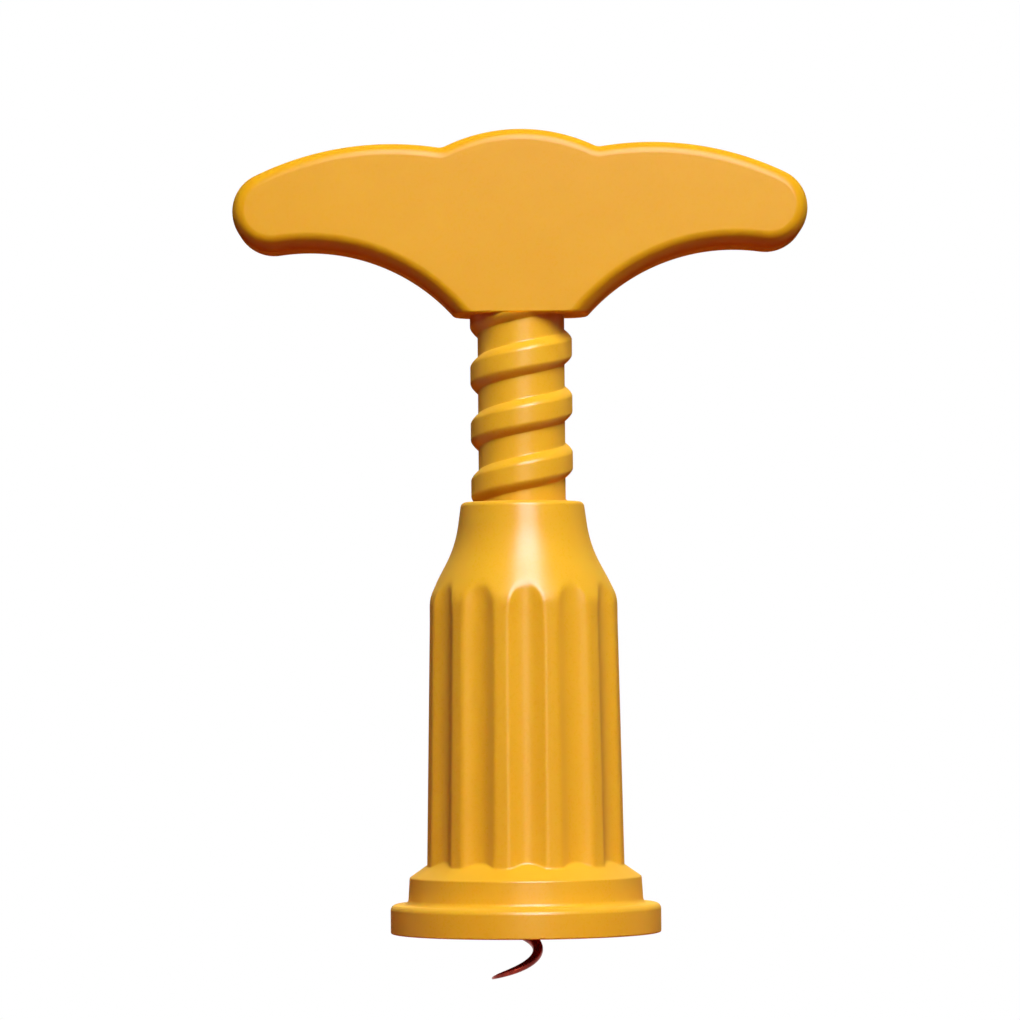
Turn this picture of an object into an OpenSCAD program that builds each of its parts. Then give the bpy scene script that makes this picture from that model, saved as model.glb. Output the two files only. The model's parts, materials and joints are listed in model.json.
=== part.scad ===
// Bell corkscrew with a winged handle. Turning the handle screws a coarse threaded stem
// through a bush in the bell, so the worm goes down into the cork and then lifts it.
// Millimetres. Origin at the centre of the bell's base rim, +Z up the stem,
// front face of the handle towards -Y.

/* [Handle] */
// Span of the handle, tip to tip
handle_span = 106.1; // [102:0.1:112]
// Height of the handle, from its foot to the top of its dome
handle_h = 34; // [33:0.1:36]
// Thickness of the handle, front face to rear face
handle_t = 18; // [17:0.1:21]
// Rounding along the edges of the two faces
edge_r = 2.3; // [1.5:0.1:2.8]
// Wall of the two handle shells
shell_wall = 2.2; // [1.8:0.1:2.5]
// Width of the flat foot, where the stem leaves the handle
foot_w = 24.8; // [23:0.1:27]
// Radius of the dome over the stem
dome_r = 32; // [28:0.5:38]
// Radius of the hollow between the dome and a wing
valley_r = 2.5; // [1.5:0.1:4]
// Radius of a wing's upper edge
wing_r = 57; // [54:0.5:62]
// Distance of a wing's highest point from the stem's axis
wing_peak_x = 24; // [23:0.1:26]
// Height of a wing's highest point over the foot
wing_peak_h = 31.4; // [30.5:0.1:32]
// Radius of a wing's rounded end
tip_r = 7.3; // [6.6:0.1:8]
// Radius of the hollow under a wing, where the fingers go
under_r = 36; // [33:0.5:40]
// Thickness of the stiffening ribs inside the shells
rib_t = 1.6; // [1.2:0.1:2.4]
// Distance of the stiffening ribs from the stem's axis
rib_x = 26.5; // [24:0.1:29]

/* [Handle fasteners] */
// Distance of the inner screws from the stem's axis
screw_in_x = 15; // [14.5:0.1:17]
// Distance of the outer screws from the stem's axis
screw_out_x = 38; // [36:0.1:41]
// Height of the screws over the foot
screw_h = 21; // [19:0.1:22]
// Diameter of a screw over its thread
screw_d = 3; // [2.5:0.1:3.5]
// Length of a screw under its head
screw_l = 10.6; // [9:0.1:11.2]
// Diameter of a screw's head
head_d = 5.6; // [5:0.1:6.4]
// Height of a screw's head
head_h = 2; // [1.6:0.1:2.4]
// Depth of a screw's head under the rear face
head_sink = 0.8; // [0.3:0.1:1.2]
// Width of the arms of the cross recess in a screw's head
recess_w = 0.8; // [0.6:0.1:1]
// Wall of the screw bosses
boss_wall = 1.8; // [1.4:0.1:2.2]
// Diameter of the cross pin through the stem's tenon
pin_d = 2.5; // [2:0.1:2.7]
// Height of the cross pin over the foot
pin_h = 12; // [10:0.1:14]

/* [Stem] */
// Gap between the bell's neck and the handle's foot at rest
lift = 34.6; // [32:0.1:36]
// Diameter of the stem's core
stem_d = 16.1; // [15.4:0.1:16.6]
// Diameter over the stem's thread
thread_d = 18.9; // [18.2:0.1:19.2]
// Rise of the thread in one turn
pitch = 10.5; // [9.5:0.1:12]
// Width of the thread at its crest
crest_w = 3.6; // [3:0.1:4]
// Width of the thread where it meets the core
root_w = 6.2; // [5.6:0.1:6.6]
// Angle, from +X and seen from above, at which the thread meets the handle's foot
thread_angle = 202; // [0:1:359]
// Side of the square tenon that the handle clamps
tenon_w = 11; // [10:0.1:11.5]
// Height of the tenon over the foot
tenon_h = 23.8; // [22:0.1:25]
// Thickness of the socket around the tenon
socket_wall = 2.2; // [1.6:0.1:2.6]
// Diameter of the journal at the stem's lower end
journal_d = 12; // [11:0.1:13]

/* [Worm] */
// Depth of the worm's point below the base rim at rest
point_drop = 8.5; // [6:0.1:10]
// Radius of the worm's helix, axis to the middle of the wire
worm_r = 4.1; // [3.6:0.1:4.6]
// Diameter of the worm's wire
wire_d = 2.8; // [2.4:0.1:3.2]
// Angle, from +X and seen from above, at which the worm's point lies
point_angle = 180; // [0:1:359]
// How far the worm's own axis has wandered towards its point, at the point
worm_lean = 2.2; // [0:0.1:3]
// How far the last half turn sags below an even coil, towards the flatter point
point_sag = 0.8; // [0:0.1:1]
// Length in which the worm's coil runs into its straight shank
lead_in = 7; // [6:0.1:9]
// Middle radius of the bend that hooks the shank's end over the tenon
hook_r = 3; // [2.5:0.1:3.4]

/* [Bell] */
// Height of the bell, base rim to the top of its neck
bell_h = 79.6; // [78:0.1:82]
// Diameter of the base flange
base_d = 50; // [48:0.1:54]
// Height of the base flange
base_h = 5.4; // [4.6:0.1:6]
// Diameter of the step over the flange, at its top edge
step_d = 42.9; // [42:0.1:44.5]
// Height of the step's top edge over the base rim
step_h = 10.3; // [9.6:0.1:11]
// Diameter over the ridges, at the foot of the flutes
ridge_low_d = 37; // [36.4:0.1:38]
// Diameter over the ridges, at the shoulder
ridge_high_d = 35.2; // [34.6:0.1:36.2]
// Depth of the shoulder's corner below the top of the neck
shoulder_drop = 17.7; // [16.6:0.1:18.6]
// Diameter of the neck at its top
neck_d = 22.7; // [22.4:0.1:23.6]
// Lean of the neck's side from upright, in degrees
neck_taper = 8; // [7:0.1:9]
// Lean of the shoulder's side from upright, in degrees
shoulder_taper = 28; // [27:0.1:30]
// Number of flutes
flutes = 12; // [10:1:14]
// Depth of a flute
flute_depth = 1.3; // [0.8:0.1:1.5]
// Radius of a flute's hollow
flute_r = 4.2; // [3.6:0.1:5]
// Angle of the first flute from +X, seen from above
flute_angle = 1.5; // [0:0.5:29.5]

/* [Bell, inside] */
// Diameter of the mouth that goes over the lip around the cork
mouth_d = 31.6; // [31:0.1:32.4]
// Depth of the mouth, base rim to the seat for that lip
mouth_depth = 10; // [9:0.1:10.6]
// Diameter of the bore that takes the cork
bore_d = 28.8; // [28:0.1:29.4]
// Depth of the ledge that the bush's flange seats on, below the top of the neck
ledge_drop = 17.6; // [17.2:0.1:18.2]
// Depth of the two keys that stop the guide ring from turning
key_depth = 1.2; // [0.8:0.1:1.4]
// Width of those keys
key_w = 2; // [1.6:0.1:2.6]
// Wall of the base, around the hollow moulded into its underside
base_wall = 2.2; // [1.8:0.1:2.4]

/* [Bush, guide ring and clip] */
// Outer diameter of the bush, a press fit in the neck
bush_d = 23.2; // [22.8:0.1:23.4]
// Length of the bush above its flange
bush_l = 8.4; // [7.6:0.1:8.6]
// Thickness of the bush's flange
bush_flange_t = 2; // [1.6:0.1:2.4]
// Thickness of the guide ring
ring_t = 2.6; // [2:0.1:3]
// Thickness of the retaining clip
clip_t = 0.9; // [0.7:0.1:1.1]
// Diameter of the retaining clip
clip_d = 15.6; // [14.6:0.1:16.6]
// Depth of the groove that the clip snaps into
clip_groove = 1.1; // [0.8:0.1:1.4]

/* [Fits] */
// Clearance between the stem's thread and the bush, each way
thread_gap = 0.3; // [0.2:0.05:0.4]
// Clearance of pieces that slide past each other
slide_gap = 0.35; // [0.25:0.05:0.45]
// Clearance of the journal in the guide ring
journal_gap = 0.08; // [0.04:0.01:0.1]
// Clearance of pieces that are clamped or pinned together
fixed_gap = 0.06; // [0.04:0.01:0.1]

/* [Hidden] */
$fn = 96;

// Colours, as the object shows them
plastic = "#f0ac32";
bell_plastic = "#f2b434";
acetal = "#efe8d8";
dark_steel = "#5a2a20";
bright_steel = "#b9bcc0";

// Amount by which a cut runs past the face it opens
past = 1;

// Levels up the axis. The stem's end comes down to the mouth's seat as the foot meets the neck.
foot_z = bell_h + lift;
tenon_top = foot_z + tenon_h;
stem_end = mouth_depth + lift;
shoulder_h = bell_h - shoulder_drop;
ledge_h = bell_h - ledge_drop;
clip_low = stem_end + clip_t;
ring_low = clip_low + clip_t + 2 * fixed_gap;
ring_top = ring_low + ring_t;
journal_top = ring_top + 2 * fixed_gap;
bush_low = ledge_h - bush_flange_t;
bush_top = ledge_h + bush_l;

// Radii about the axis
core_r = stem_d / 2;
crest_r = thread_d / 2;
journal_r = journal_d / 2;
bore_r = bore_d / 2;
mouth_r = mouth_d / 2;
base_r = base_d / 2;
step_r = step_d / 2;
ridge_low_r = ridge_low_d / 2;
ridge_high_r = ridge_high_d / 2;
wire_r = wire_d / 2;
key_r = bore_r - key_depth;

// Arc of n steps about a centre, from one angle to another
function arc(centre, r, from, to, n) =
    [for (i = [0:n]) let (a = from + (to - from) * i / n) centre + r * [cos(a), sin(a)]];
// The same arc without its first point, to carry on from the arc before it
function arc_on(centre, r, from, to, n) =
    [for (i = [1:n]) let (a = from + (to - from) * i / n) centre + r * [cos(a), sin(a)]];
// Direction of one point from another
function heading(from, to) = atan2(to[1] - from[1], to[0] - from[0]);
// The crossing of two circles that lies to the left of the line between their centres
function crossing(c1, r1, c2, r2) =
    let (span = c2 - c1, d = norm(span), along = (d * d + r1 * r1 - r2 * r2) / (2 * d))
    let (aside = sqrt(r1 * r1 - along * along), u = span / d)
    c1 + along * u + aside * [-u[1], u[0]];
// The left half that closes an outline whose right half ends on the axis
function mirrored(points) = [for (i = [len(points) - 2:-1:0]) [-points[i][0], points[i][1]]];
function unit(v) = v / norm(v);

// Triangles that close a ring whose outline bulges everywhere
function fan(count) = [for (j = [1:count - 2]) [0, j, j + 1]];

// Closed skin over a row of rings, with the triangles that close an end.
// Seen from the last ring's side, each ring runs counter-clockwise.
module skin(rings, end) {
    count = len(rings[0]);
    last = (len(rings) - 1) * count;
    last_end = [for (t = end) [last + t[2], last + t[1], last + t[0]]];
    sides = [for (i = [0:len(rings) - 2]) for (j = [0:count - 1])
        let (a = i * count + j, b = i * count + (j + 1) % count)
        each [[a, b + count, b], [a, a + count, b + count]]];
    polyhedron([for (ring = rings) each ring], concat(end, last_end, sides), convexity = 12);
}

// Handle outline: centres of the tangent arcs, as [x, z]
dome_c = [0, foot_z + handle_h - dome_r];
wing_c = [wing_peak_x, foot_z + wing_peak_h - wing_r];
tip_x = handle_span / 2 - tip_r;
tip_c = [tip_x, wing_c[1] + sqrt(pow(wing_r - tip_r, 2) - pow(tip_x - wing_peak_x, 2))];
valley_c = crossing(dome_c, dome_r + valley_r, wing_c, wing_r + valley_r);
under_c = crossing(tip_c, under_r + tip_r, [foot_w / 2, foot_z], under_r);

// Steps along each arc. The underside's match the rest, so that the face splits into strips.
tip_steps = 14;
wing_steps = 10;
valley_steps = 4;
dome_steps = 8;
under_steps = wing_steps + valley_steps + dome_steps;
edge_steps = 6;
half_count = 1 + 2 * under_steps + tip_steps;

// Right half of the outline, set in by d, from its lowest point up to the top of the dome
function half_outline(d, low) =
    let (u = under_r + d)
    concat(
        arc(under_c, u, 180 - asin((low - under_c[1]) / u), heading(under_c, tip_c), under_steps),
        arc_on(tip_c, tip_r - d, heading(under_c, tip_c) - 180, heading(wing_c, tip_c), tip_steps),
        arc_on(wing_c, wing_r - d, heading(wing_c, tip_c), heading(wing_c, valley_c), wing_steps),
        arc_on(valley_c, valley_r + d, heading(valley_c, wing_c), heading(valley_c, dome_c), valley_steps),
        arc_on(dome_c, dome_r - d, heading(dome_c, valley_c), 90, dome_steps));
function outline(d, low) = let (half = half_outline(d, low)) concat(half, mirrored(half));

// Triangles of the handle's face: strips from the underside to the top edge, and one over the foot
face_top = half_count - 1;
face_left = 2 * face_top;
function strip(a, b, c, d) = [[a, b, c], [a, c, d]];
function face_side(at) = [for (i = [0:face_top / 2 - 2])
    each strip(at(i), at(i + 1), at(face_top - i - 1), at(face_top - i))];
face_end = concat(
    [[0, face_top, face_left]],
    face_side(function (i) i),
    [for (t = face_side(function (i) face_left - i)) [t[2], t[1], t[0]]],
    [let (m = face_top / 2) [m - 1, m, m + 1]],
    [let (m = face_left - face_top / 2) [m - 1, m, m + 1]]);

// The skin runs on below the foot, where it is cut off flat
run_on = 2 * edge_r;
function shell_ring(d, y) = [for (p = outline(d, foot_z - run_on + d)) [p[0], y, p[1]]];

// Solid front half of the handle, rounded along its face
module half_handle() {
    rounding = [for (i = [0:edge_steps]) let (a = 90 * i / edge_steps)
        shell_ring(edge_r * (1 - cos(a)), -handle_t / 2 + edge_r * (1 - sin(a)))];
    difference() {
        skin(concat([shell_ring(0, 0)], rounding), face_end);
        translate([-handle_span / 2, -handle_t, foot_z - 3 * run_on])
            cube([handle_span, 2 * handle_t, 3 * run_on]);
    }
}

// Screw places on the handle, as [x, z]
screw_places = [for (side = [-1, 1]) for (x = [screw_in_x, screw_out_x]) [side * x, foot_z + screw_h]];
module at_screws() {
    for (place = screw_places)
        translate([place[0], 0, place[1]])
            rotate([90, 0, 0])
                children();
}

// What is left standing inside a shell: bosses, ribs and the socket for the tenon
boss_r = screw_d / 2 + fixed_gap + boss_wall;
socket_w = tenon_w + 2 * (fixed_gap + socket_wall);
module shell_inside() {
    at_screws()
        cylinder(r = boss_r, h = handle_t);
    for (side = [-1, 1])
        translate([side * rib_x - rib_t / 2, -handle_t, foot_z])
            cube([rib_t, handle_t + past, handle_h]);
    translate([-socket_w / 2, -handle_t, foot_z])
        cube([socket_w, handle_t + past, tenon_h + fixed_gap + socket_wall]);
}

// Front shell with its hollow, before any screw holes
module hollow_half() {
    depth = handle_t / 2 - shell_wall;
    slot = tenon_w + 2 * fixed_gap;
    difference() {
        half_handle();
        difference() {
            rotate([90, 0, 0])
                translate([0, 0, -past])
                    linear_extrude(depth + past)
                        polygon(outline(shell_wall, foot_z + shell_wall));
            shell_inside();
        }
        translate([-slot / 2, -slot / 2, foot_z - past])
            cube([slot, slot, tenon_h + fixed_gap + past]);
        rotate([90, 0, 0])
            translate([pin_x, foot_z + pin_h, -past])
                cylinder(r = pin_d / 2 + fixed_gap, h = pin_half + fixed_gap + past);
    }
}

// Half length of the cross pin: it stops inside both faces
pin_half = handle_t / 2 - shell_wall / 2 - fixed_gap;
// The cross pin passes the worm's shank, midway to the tenon's side
pin_x = (wire_r + tenon_w / 2) / 2;

module handle_front() {
    color(plastic)
        difference() {
            hollow_half();
            at_screws()
                translate([0, 0, -past])
                    cylinder(r = screw_d / 2 + fixed_gap, h = screw_l - screw_seat + 2 * fixed_gap + past);
        }
}

// Distance of the screws' seats from the parting plane
screw_seat = handle_t / 2 - head_sink - head_h;

module handle_rear() {
    color(plastic)
        difference() {
            mirror([0, 1, 0])
                hollow_half();
            at_screws()
                translate([0, 0, -handle_t])
                    cylinder(r = screw_d / 2 + fixed_gap, h = handle_t + past);
            at_screws()
                translate([0, 0, -handle_t])
                    cylinder(r = head_d / 2 + slide_gap, h = handle_t - screw_seat);
        }
}

// Length of the arms of a screw's cross recess
recess_l = 0.6 * head_d;

module handle_screws() {
    color(bright_steel)
        at_screws()
            difference() {
                union() {
                    translate([0, 0, -screw_seat])
                        cylinder(d = screw_d, h = screw_l);
                    translate([0, 0, -screw_seat - head_h])
                        cylinder(d1 = head_d - head_h / 2, d2 = head_d, h = head_h / 2);
                    translate([0, 0, -screw_seat - head_h / 2])
                        cylinder(d = head_d, h = head_h / 2);
                }
                for (turn = [0, 90])
                    rotate([0, 0, turn])
                        translate([-recess_l / 2, -recess_w / 2, -screw_seat - head_h - past])
                            cube([recess_l, recess_w, head_h / 2 + past]);
            }
}

module stem_pin() {
    color(bright_steel)
        translate([pin_x, pin_half, foot_z + pin_h])
            rotate([90, 0, 0])
                cylinder(d = pin_d, h = 2 * pin_half);
}

// Helical ridge between two levels, grown by a clearance all round
steps_per_turn = 32;
edge_break = 0.4;
ridge_root = 0.6;
module ridge(low, high, grow) {
    inner = core_r - ridge_root;
    slope = (root_w - crest_w) / 2 / (crest_r - core_r);
    half_at = function (r) crest_w / 2 + (crest_r - r) * slope + grow;
    shoulder = crest_r + grow - edge_break;
    section = [
        [inner, half_at(inner)],
        [shoulder, half_at(shoulder) + grow * slope],
        [crest_r + grow, crest_w / 2 + grow - edge_break / 2],
        [crest_r + grow, -crest_w / 2 - grow + edge_break / 2],
        [shoulder, -half_at(shoulder) - grow * slope],
        [inner, -half_at(inner)]];
    first = floor((low - foot_z) / pitch * steps_per_turn) - 1;
    last = ceil((high - foot_z) / pitch * steps_per_turn) + 1;
    rings = [for (i = [first:last])
        let (turn = i / steps_per_turn, a = thread_angle + 360 * turn)
        [for (p = section) [p[0] * cos(a), p[0] * sin(a), foot_z + pitch * turn + p[1]]]];
    skin(rings, fan(len(section)));
}

// Slot across the tenon's top that the shank's hooked end lies in
module hook_slot() {
    wide = wire_d + 2 * fixed_gap;
    floor_z = tenon_top - wire_d - fixed_gap;
    translate([-wide / 2, -wide / 2, floor_z])
        cube([tenon_w, wide, wire_d + fixed_gap + past]);
    translate([-wide / 2, -wide / 2, tenon_top - wire_r - hook_r])
        cube([wide / 2 + hook_r, wide, hook_r + wire_r + past]);
}

module stem() {
    color(bell_plastic)
        difference() {
            union() {
                translate([0, 0, journal_top])
                    cylinder(r = core_r, h = foot_z - journal_top);
                translate([0, 0, stem_end])
                    cylinder(r = journal_r, h = journal_top - stem_end + past);
                translate([-tenon_w / 2, -tenon_w / 2, foot_z - past])
                    cube([tenon_w, tenon_w, tenon_h + past]);
                intersection() {
                    ridge(journal_top - pitch, foot_z + pitch, 0);
                    translate([0, 0, journal_top])
                        cylinder(r = crest_r + past, h = foot_z - journal_top);
                }
            }
            translate([0, 0, clip_low - fixed_gap])
                difference() {
                    cylinder(r = journal_r + past, h = clip_t + 2 * fixed_gap);
                    translate([0, 0, -past])
                        cylinder(r = journal_r - clip_groove, h = clip_t + 2 * past);
                }
            translate([0, 0, stem_end - past])
                cylinder(d = wire_d + 2 * fixed_gap, h = tenon_top - stem_end + 2 * past);
            hook_slot();
            translate([pin_x, tenon_w, foot_z + pin_h])
                rotate([90, 0, 0])
                    cylinder(r = pin_d / 2 + fixed_gap, h = 2 * tenon_w);
        }
}

module ring_clip() {
    opening = 70;
    color(bright_steel)
        translate([0, 0, clip_low])
            rotate([0, 0, opening / 2])
                rotate_extrude(angle = 360 - opening)
                    translate([journal_r - clip_groove + fixed_gap, 0])
                        square([clip_d / 2 - journal_r + clip_groove - fixed_gap, clip_t]);
}

module keys(grow, low, high) {
    for (side = [0, 180])
        rotate([0, 0, 90 + side])
            translate([key_r - grow, -key_w / 2 - grow, low])
                cube([key_depth + grow + past, key_w + 2 * grow, high - low]);
}

module guide_ring() {
    color(acetal)
        difference() {
            translate([0, 0, ring_low])
                cylinder(r = bore_r - slide_gap, h = ring_t);
            translate([0, 0, ring_low - past])
                cylinder(r = journal_r + journal_gap, h = ring_t + 2 * past);
            keys(slide_gap, ring_low - past, ring_top + past);
        }
}

// The worm: coil, run into the shank, straight shank, hook
point_z = -point_drop;
coil_top = stem_end - lead_in;
coil_step = 15;
coil_end = 360 * (stem_end - point_z) / pitch;
point_dir = [cos(point_angle), sin(point_angle), 0];
taper_turn = 360;
function ease(t) = t <= 0 ? 0 : t >= 1 ? 1 : t * t * (3 - 2 * t);
function coil_point(a) =
    let (z = point_z + pitch * a / 360 - point_sag * sin(a) * ease((540 - a) / 270))
    let (off = worm_lean * max(0, coil_top - z) / (coil_top - point_z))
    let (r = worm_r * (1 - ease((z - coil_top) / lead_in)), turn = point_angle + a)
    off * point_dir + [r * cos(turn), r * sin(turn), z];
hook_low = tenon_top - wire_r - hook_r;
hook_end = tenon_w / 2 - fixed_gap;
coil_count = ceil(coil_end / coil_step);
worm_path = concat(
    [for (i = [0:coil_count]) coil_point(coil_end * i / coil_count)],
    [for (a = [0:coil_step:90]) [hook_r * (1 - cos(a)), 0, hook_low + hook_r * sin(a)]],
    [[hook_end, 0, hook_low + hook_r]]);
point_r = 0.06;
function wire_at(i) =
    let (a = coil_end * i / coil_count)
    max(point_r, wire_r * (a < taper_turn ? pow(a / taper_turn, 0.55) : 1));
function path_dir(i) =
    unit(worm_path[min(i + 1, len(worm_path) - 1)] - worm_path[max(i - 1, 0)]);
function square_to(n, t) = unit(n - (n * t) * t);
worm_sides = 10;
// Least gap between one turn of the coil and the next, measured on the path's points
half_turn = ceil(180 / coil_step);
worm_gap = min([for (i = [0:coil_count - half_turn]) for (j = [i + half_turn:coil_count])
    norm(worm_path[i] - worm_path[j])]) - wire_d;
echo(worm_gap = worm_gap);

module worm() {
    across = [for (i = 0, n = square_to(point_dir, path_dir(0)); i < len(worm_path);
        i = i + 1, n = i < len(worm_path) ? square_to(n, path_dir(i)) : n) n];
    rings = [for (i = [0:len(worm_path) - 1])
        let (n = across[i], b = cross(path_dir(i), n), r = wire_at(i))
        [for (k = [0:worm_sides - 1]) let (a = 360 * k / worm_sides)
            worm_path[i] + r * (cos(a) * n + sin(a) * b)]];
    color(dark_steel)
        skin(rings, fan(worm_sides));
}

module thread_bush() {
    color(acetal)
        difference() {
            union() {
                translate([0, 0, bush_low])
                    cylinder(d = bush_d, h = bush_top - bush_low);
                translate([0, 0, bush_low])
                    cylinder(r = key_r - slide_gap / 2, h = bush_flange_t);
            }
            translate([0, 0, bush_low - past])
                cylinder(r = core_r + thread_gap, h = bush_top - bush_low + 2 * past);
            ridge(bush_low - pitch / 2, bush_top + pitch / 2, thread_gap);
        }
}

// Bell: side of the fluted body, leaning in towards the shoulder
rim_r = 1;
flange_round = 1.1;
inner_fillet = 1;
step_draft = 0.3;
step_round = 0.5;
shoulder_round = 6;
neck_fillet = 22;
collar_slope = 35;
collar_top = step_h + (step_r - ridge_low_r) * tan(collar_slope);
body_lean = atan((ridge_low_r - ridge_high_r) / (shoulder_h - collar_top));

// Corner between two straight sides, rounded, as points from one tangent point to the other
function rounded(before, corner, after, r, n) =
    let (u = unit(before - corner), v = unit(after - corner), half = acos(u * v) / 2)
    let (c = corner + unit(u + v) * r / sin(half), from = corner + u * r / tan(half))
    let (a0 = heading(c, from), a1 = heading(c, corner + v * r / tan(half)))
    let (sweep = (a1 - a0) - 360 * round((a1 - a0) / 360))
    arc(c, r, a0, a0 + sweep, n);

shoulder_corner = [ridge_high_r, shoulder_h];
neck_top = [neck_d / 2, bell_h];
// Where the shoulder's side and the neck's side would meet
neck_corner_z = (shoulder_corner[0] + shoulder_h * tan(shoulder_taper) - neck_top[0] - bell_h * tan(neck_taper))
    / (tan(shoulder_taper) - tan(neck_taper));
neck_corner = [neck_top[0] + (bell_h - neck_corner_z) * tan(neck_taper), neck_corner_z];

module body_blank() {
    low = [ridge_low_r + (collar_top - base_h) * tan(body_lean), base_h];
    rotate_extrude()
        polygon(concat(
            [[0, base_h], low],
            rounded(low, shoulder_corner, neck_corner, shoulder_round, 5),
            rounded(shoulder_corner, neck_corner, neck_top, neck_fillet, 8),
            rounded(neck_corner, neck_top, [0, bell_h], rim_r, 5),
            [[0, bell_h]]));
}

// Flutes run parallel to the leaning side and out through the shoulder
module flute_cutters() {
    low = base_h;
    axis_r = ridge_low_r + (collar_top - low) * tan(body_lean) - flute_depth + flute_r;
    for (i = [0:flutes - 1])
        rotate([0, 0, flute_angle + 360 * i / flutes])
            translate([axis_r, 0, low])
                rotate([0, -body_lean, 0])
                    cylinder(r = flute_r, h = bell_h - low);
}

// Flange, step and the sloping collar that rises into the flutes
module base_blank() {
    deep_r = ridge_low_r - flute_depth - rim_r;
    step_low = [step_r + step_draft, base_h];
    step_high = [step_r, step_h];
    collar_high = [deep_r, step_h + (step_r - deep_r) * tan(collar_slope)];
    flange_top = [base_r, base_h];
    rotate_extrude()
        polygon(concat(
            [[0, 0], [base_r, 0]],
            rounded([base_r, 0], flange_top, step_low, flange_round, 5),
            rounded(flange_top, step_low, step_high, inner_fillet, 5),
            rounded(step_low, step_high, collar_high, step_round, 3),
            [collar_high, [0, collar_high[1]]]));
}

// Mouth, cork bore with its keys, bush seat and neck bore
module bell_inside() {
    chamfer = 0.8;
    translate([0, 0, -past])
        cylinder(r = mouth_r, h = mouth_depth + past);
    translate([0, 0, -past])
        cylinder(r1 = mouth_r + chamfer + 2 * past, r2 = mouth_r, h = chamfer + 2 * past);
    difference() {
        translate([0, 0, mouth_depth - past])
            cylinder(r = bore_r, h = ledge_h - mouth_depth + past);
        keys(0, mouth_depth + key_w, ledge_h + past);
    }
    translate([0, 0, ledge_h - past])
        cylinder(d = bush_d, h = bush_l + past);
    translate([0, 0, ledge_h])
        cylinder(r = crest_r + slide_gap, h = bell_h - ledge_h + past);
}

// Hollow moulded into the underside of the base, crossed by radial webs
mouth_wall = 2;
web_t = 1.6;
web_sink = 0.6;
module base_hollow() {
    low_r = mouth_r + mouth_wall;
    flange_in = base_r - base_wall;
    step_in = step_r - base_wall;
    difference() {
        rotate_extrude()
            polygon([[low_r, -past], [flange_in, -past], [flange_in, base_h - base_wall],
                [step_in, base_h - base_wall], [step_in, step_h - base_wall], [low_r, step_h - base_wall]]);
        for (i = [0:flutes - 1])
            rotate([0, 0, flute_angle + 360 * i / flutes])
                translate([0, -web_t / 2, web_sink])
                    cube([base_r, web_t, step_h]);
    }
}

// The mouth's own wall stops short of the rim, so that the bell stands on its flange
module mouth_relief() {
    translate([0, 0, -past])
        cylinder(r = mouth_r + mouth_wall + past, h = web_sink + past);
}

module barrel() {
    color(bell_plastic)
        difference() {
            union() {
                difference() {
                    body_blank();
                    flute_cutters();
                }
                base_blank();
            }
            bell_inside();
            base_hollow();
            mouth_relief();
        }
}

barrel();
thread_bush();
guide_ring();
ring_clip();
stem();
worm();
handle_front();
handle_rear();
stem_pin();
handle_screws();
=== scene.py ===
# %% [markdown]
# # A moulded bell corkscrew
# The object is a hand corkscrew in two orange plastics that are nearly alike: a winged handle in a satin
# one, and in a glossier, yellower one the fluted bell and the thick screw stem that runs through it. A dark
# steel worm hangs from the stem.
# The imported CAD model comes first, as a fixed frame. Every piece below is drawn in that frame, in metres,
# so a size from the drawing in millimetres is only multiplied by MM.

import bmesh
import bpy
import json
import math
from mathutils import Matrix, Vector


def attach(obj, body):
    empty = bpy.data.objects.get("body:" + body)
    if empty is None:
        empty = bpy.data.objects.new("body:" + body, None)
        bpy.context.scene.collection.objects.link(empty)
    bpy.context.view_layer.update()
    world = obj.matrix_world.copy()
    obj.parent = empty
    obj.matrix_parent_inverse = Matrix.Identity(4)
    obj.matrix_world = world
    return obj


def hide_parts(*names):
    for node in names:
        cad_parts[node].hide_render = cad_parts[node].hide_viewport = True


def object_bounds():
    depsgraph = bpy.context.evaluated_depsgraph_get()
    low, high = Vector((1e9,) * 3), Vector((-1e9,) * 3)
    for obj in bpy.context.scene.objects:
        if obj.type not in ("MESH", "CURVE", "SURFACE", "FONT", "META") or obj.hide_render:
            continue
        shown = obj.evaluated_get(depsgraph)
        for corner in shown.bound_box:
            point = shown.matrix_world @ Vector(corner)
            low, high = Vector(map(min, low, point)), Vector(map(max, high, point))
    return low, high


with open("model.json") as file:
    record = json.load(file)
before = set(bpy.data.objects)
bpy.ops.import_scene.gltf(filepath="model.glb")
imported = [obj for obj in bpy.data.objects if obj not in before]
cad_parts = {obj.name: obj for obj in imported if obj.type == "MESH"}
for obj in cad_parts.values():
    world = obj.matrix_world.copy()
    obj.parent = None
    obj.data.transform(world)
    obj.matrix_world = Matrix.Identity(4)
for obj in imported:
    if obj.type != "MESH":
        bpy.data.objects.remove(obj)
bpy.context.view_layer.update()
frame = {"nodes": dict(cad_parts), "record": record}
MM = 0.001
scene = bpy.context.scene
print("CAD nodes:", sorted(frame["nodes"]))

# %% [markdown]
# ## Small helpers
# Colours are easier to read as the hex codes that a paint program shows. Blender's sockets hold linear
# light, so one function turns the code into that. A node tree could be built with long lines of links,
# and one small function that adds a node with its settings and inputs keeps each tree readable. A third
# puts new data into the scene as an object.

# %% Colour, node and scene helpers
def to_linear(code):
    channels = [int(code[i:i + 2], 16) / 255 for i in (1, 3, 5)]
    return [c / 12.92 if c <= 0.04045 else ((c + 0.055) / 1.055) ** 2.4 for c in channels] + [1.0]


def add_node(tree, kind, settings={}, inputs={}):
    node = tree.nodes.new(kind)
    for name, value in settings.items():
        setattr(node, name, value)
    for key, value in inputs.items():
        if isinstance(value, bpy.types.NodeSocket):
            tree.links.new(value, node.inputs[key])
        else:
            node.inputs[key].default_value = value
    return node


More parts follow.
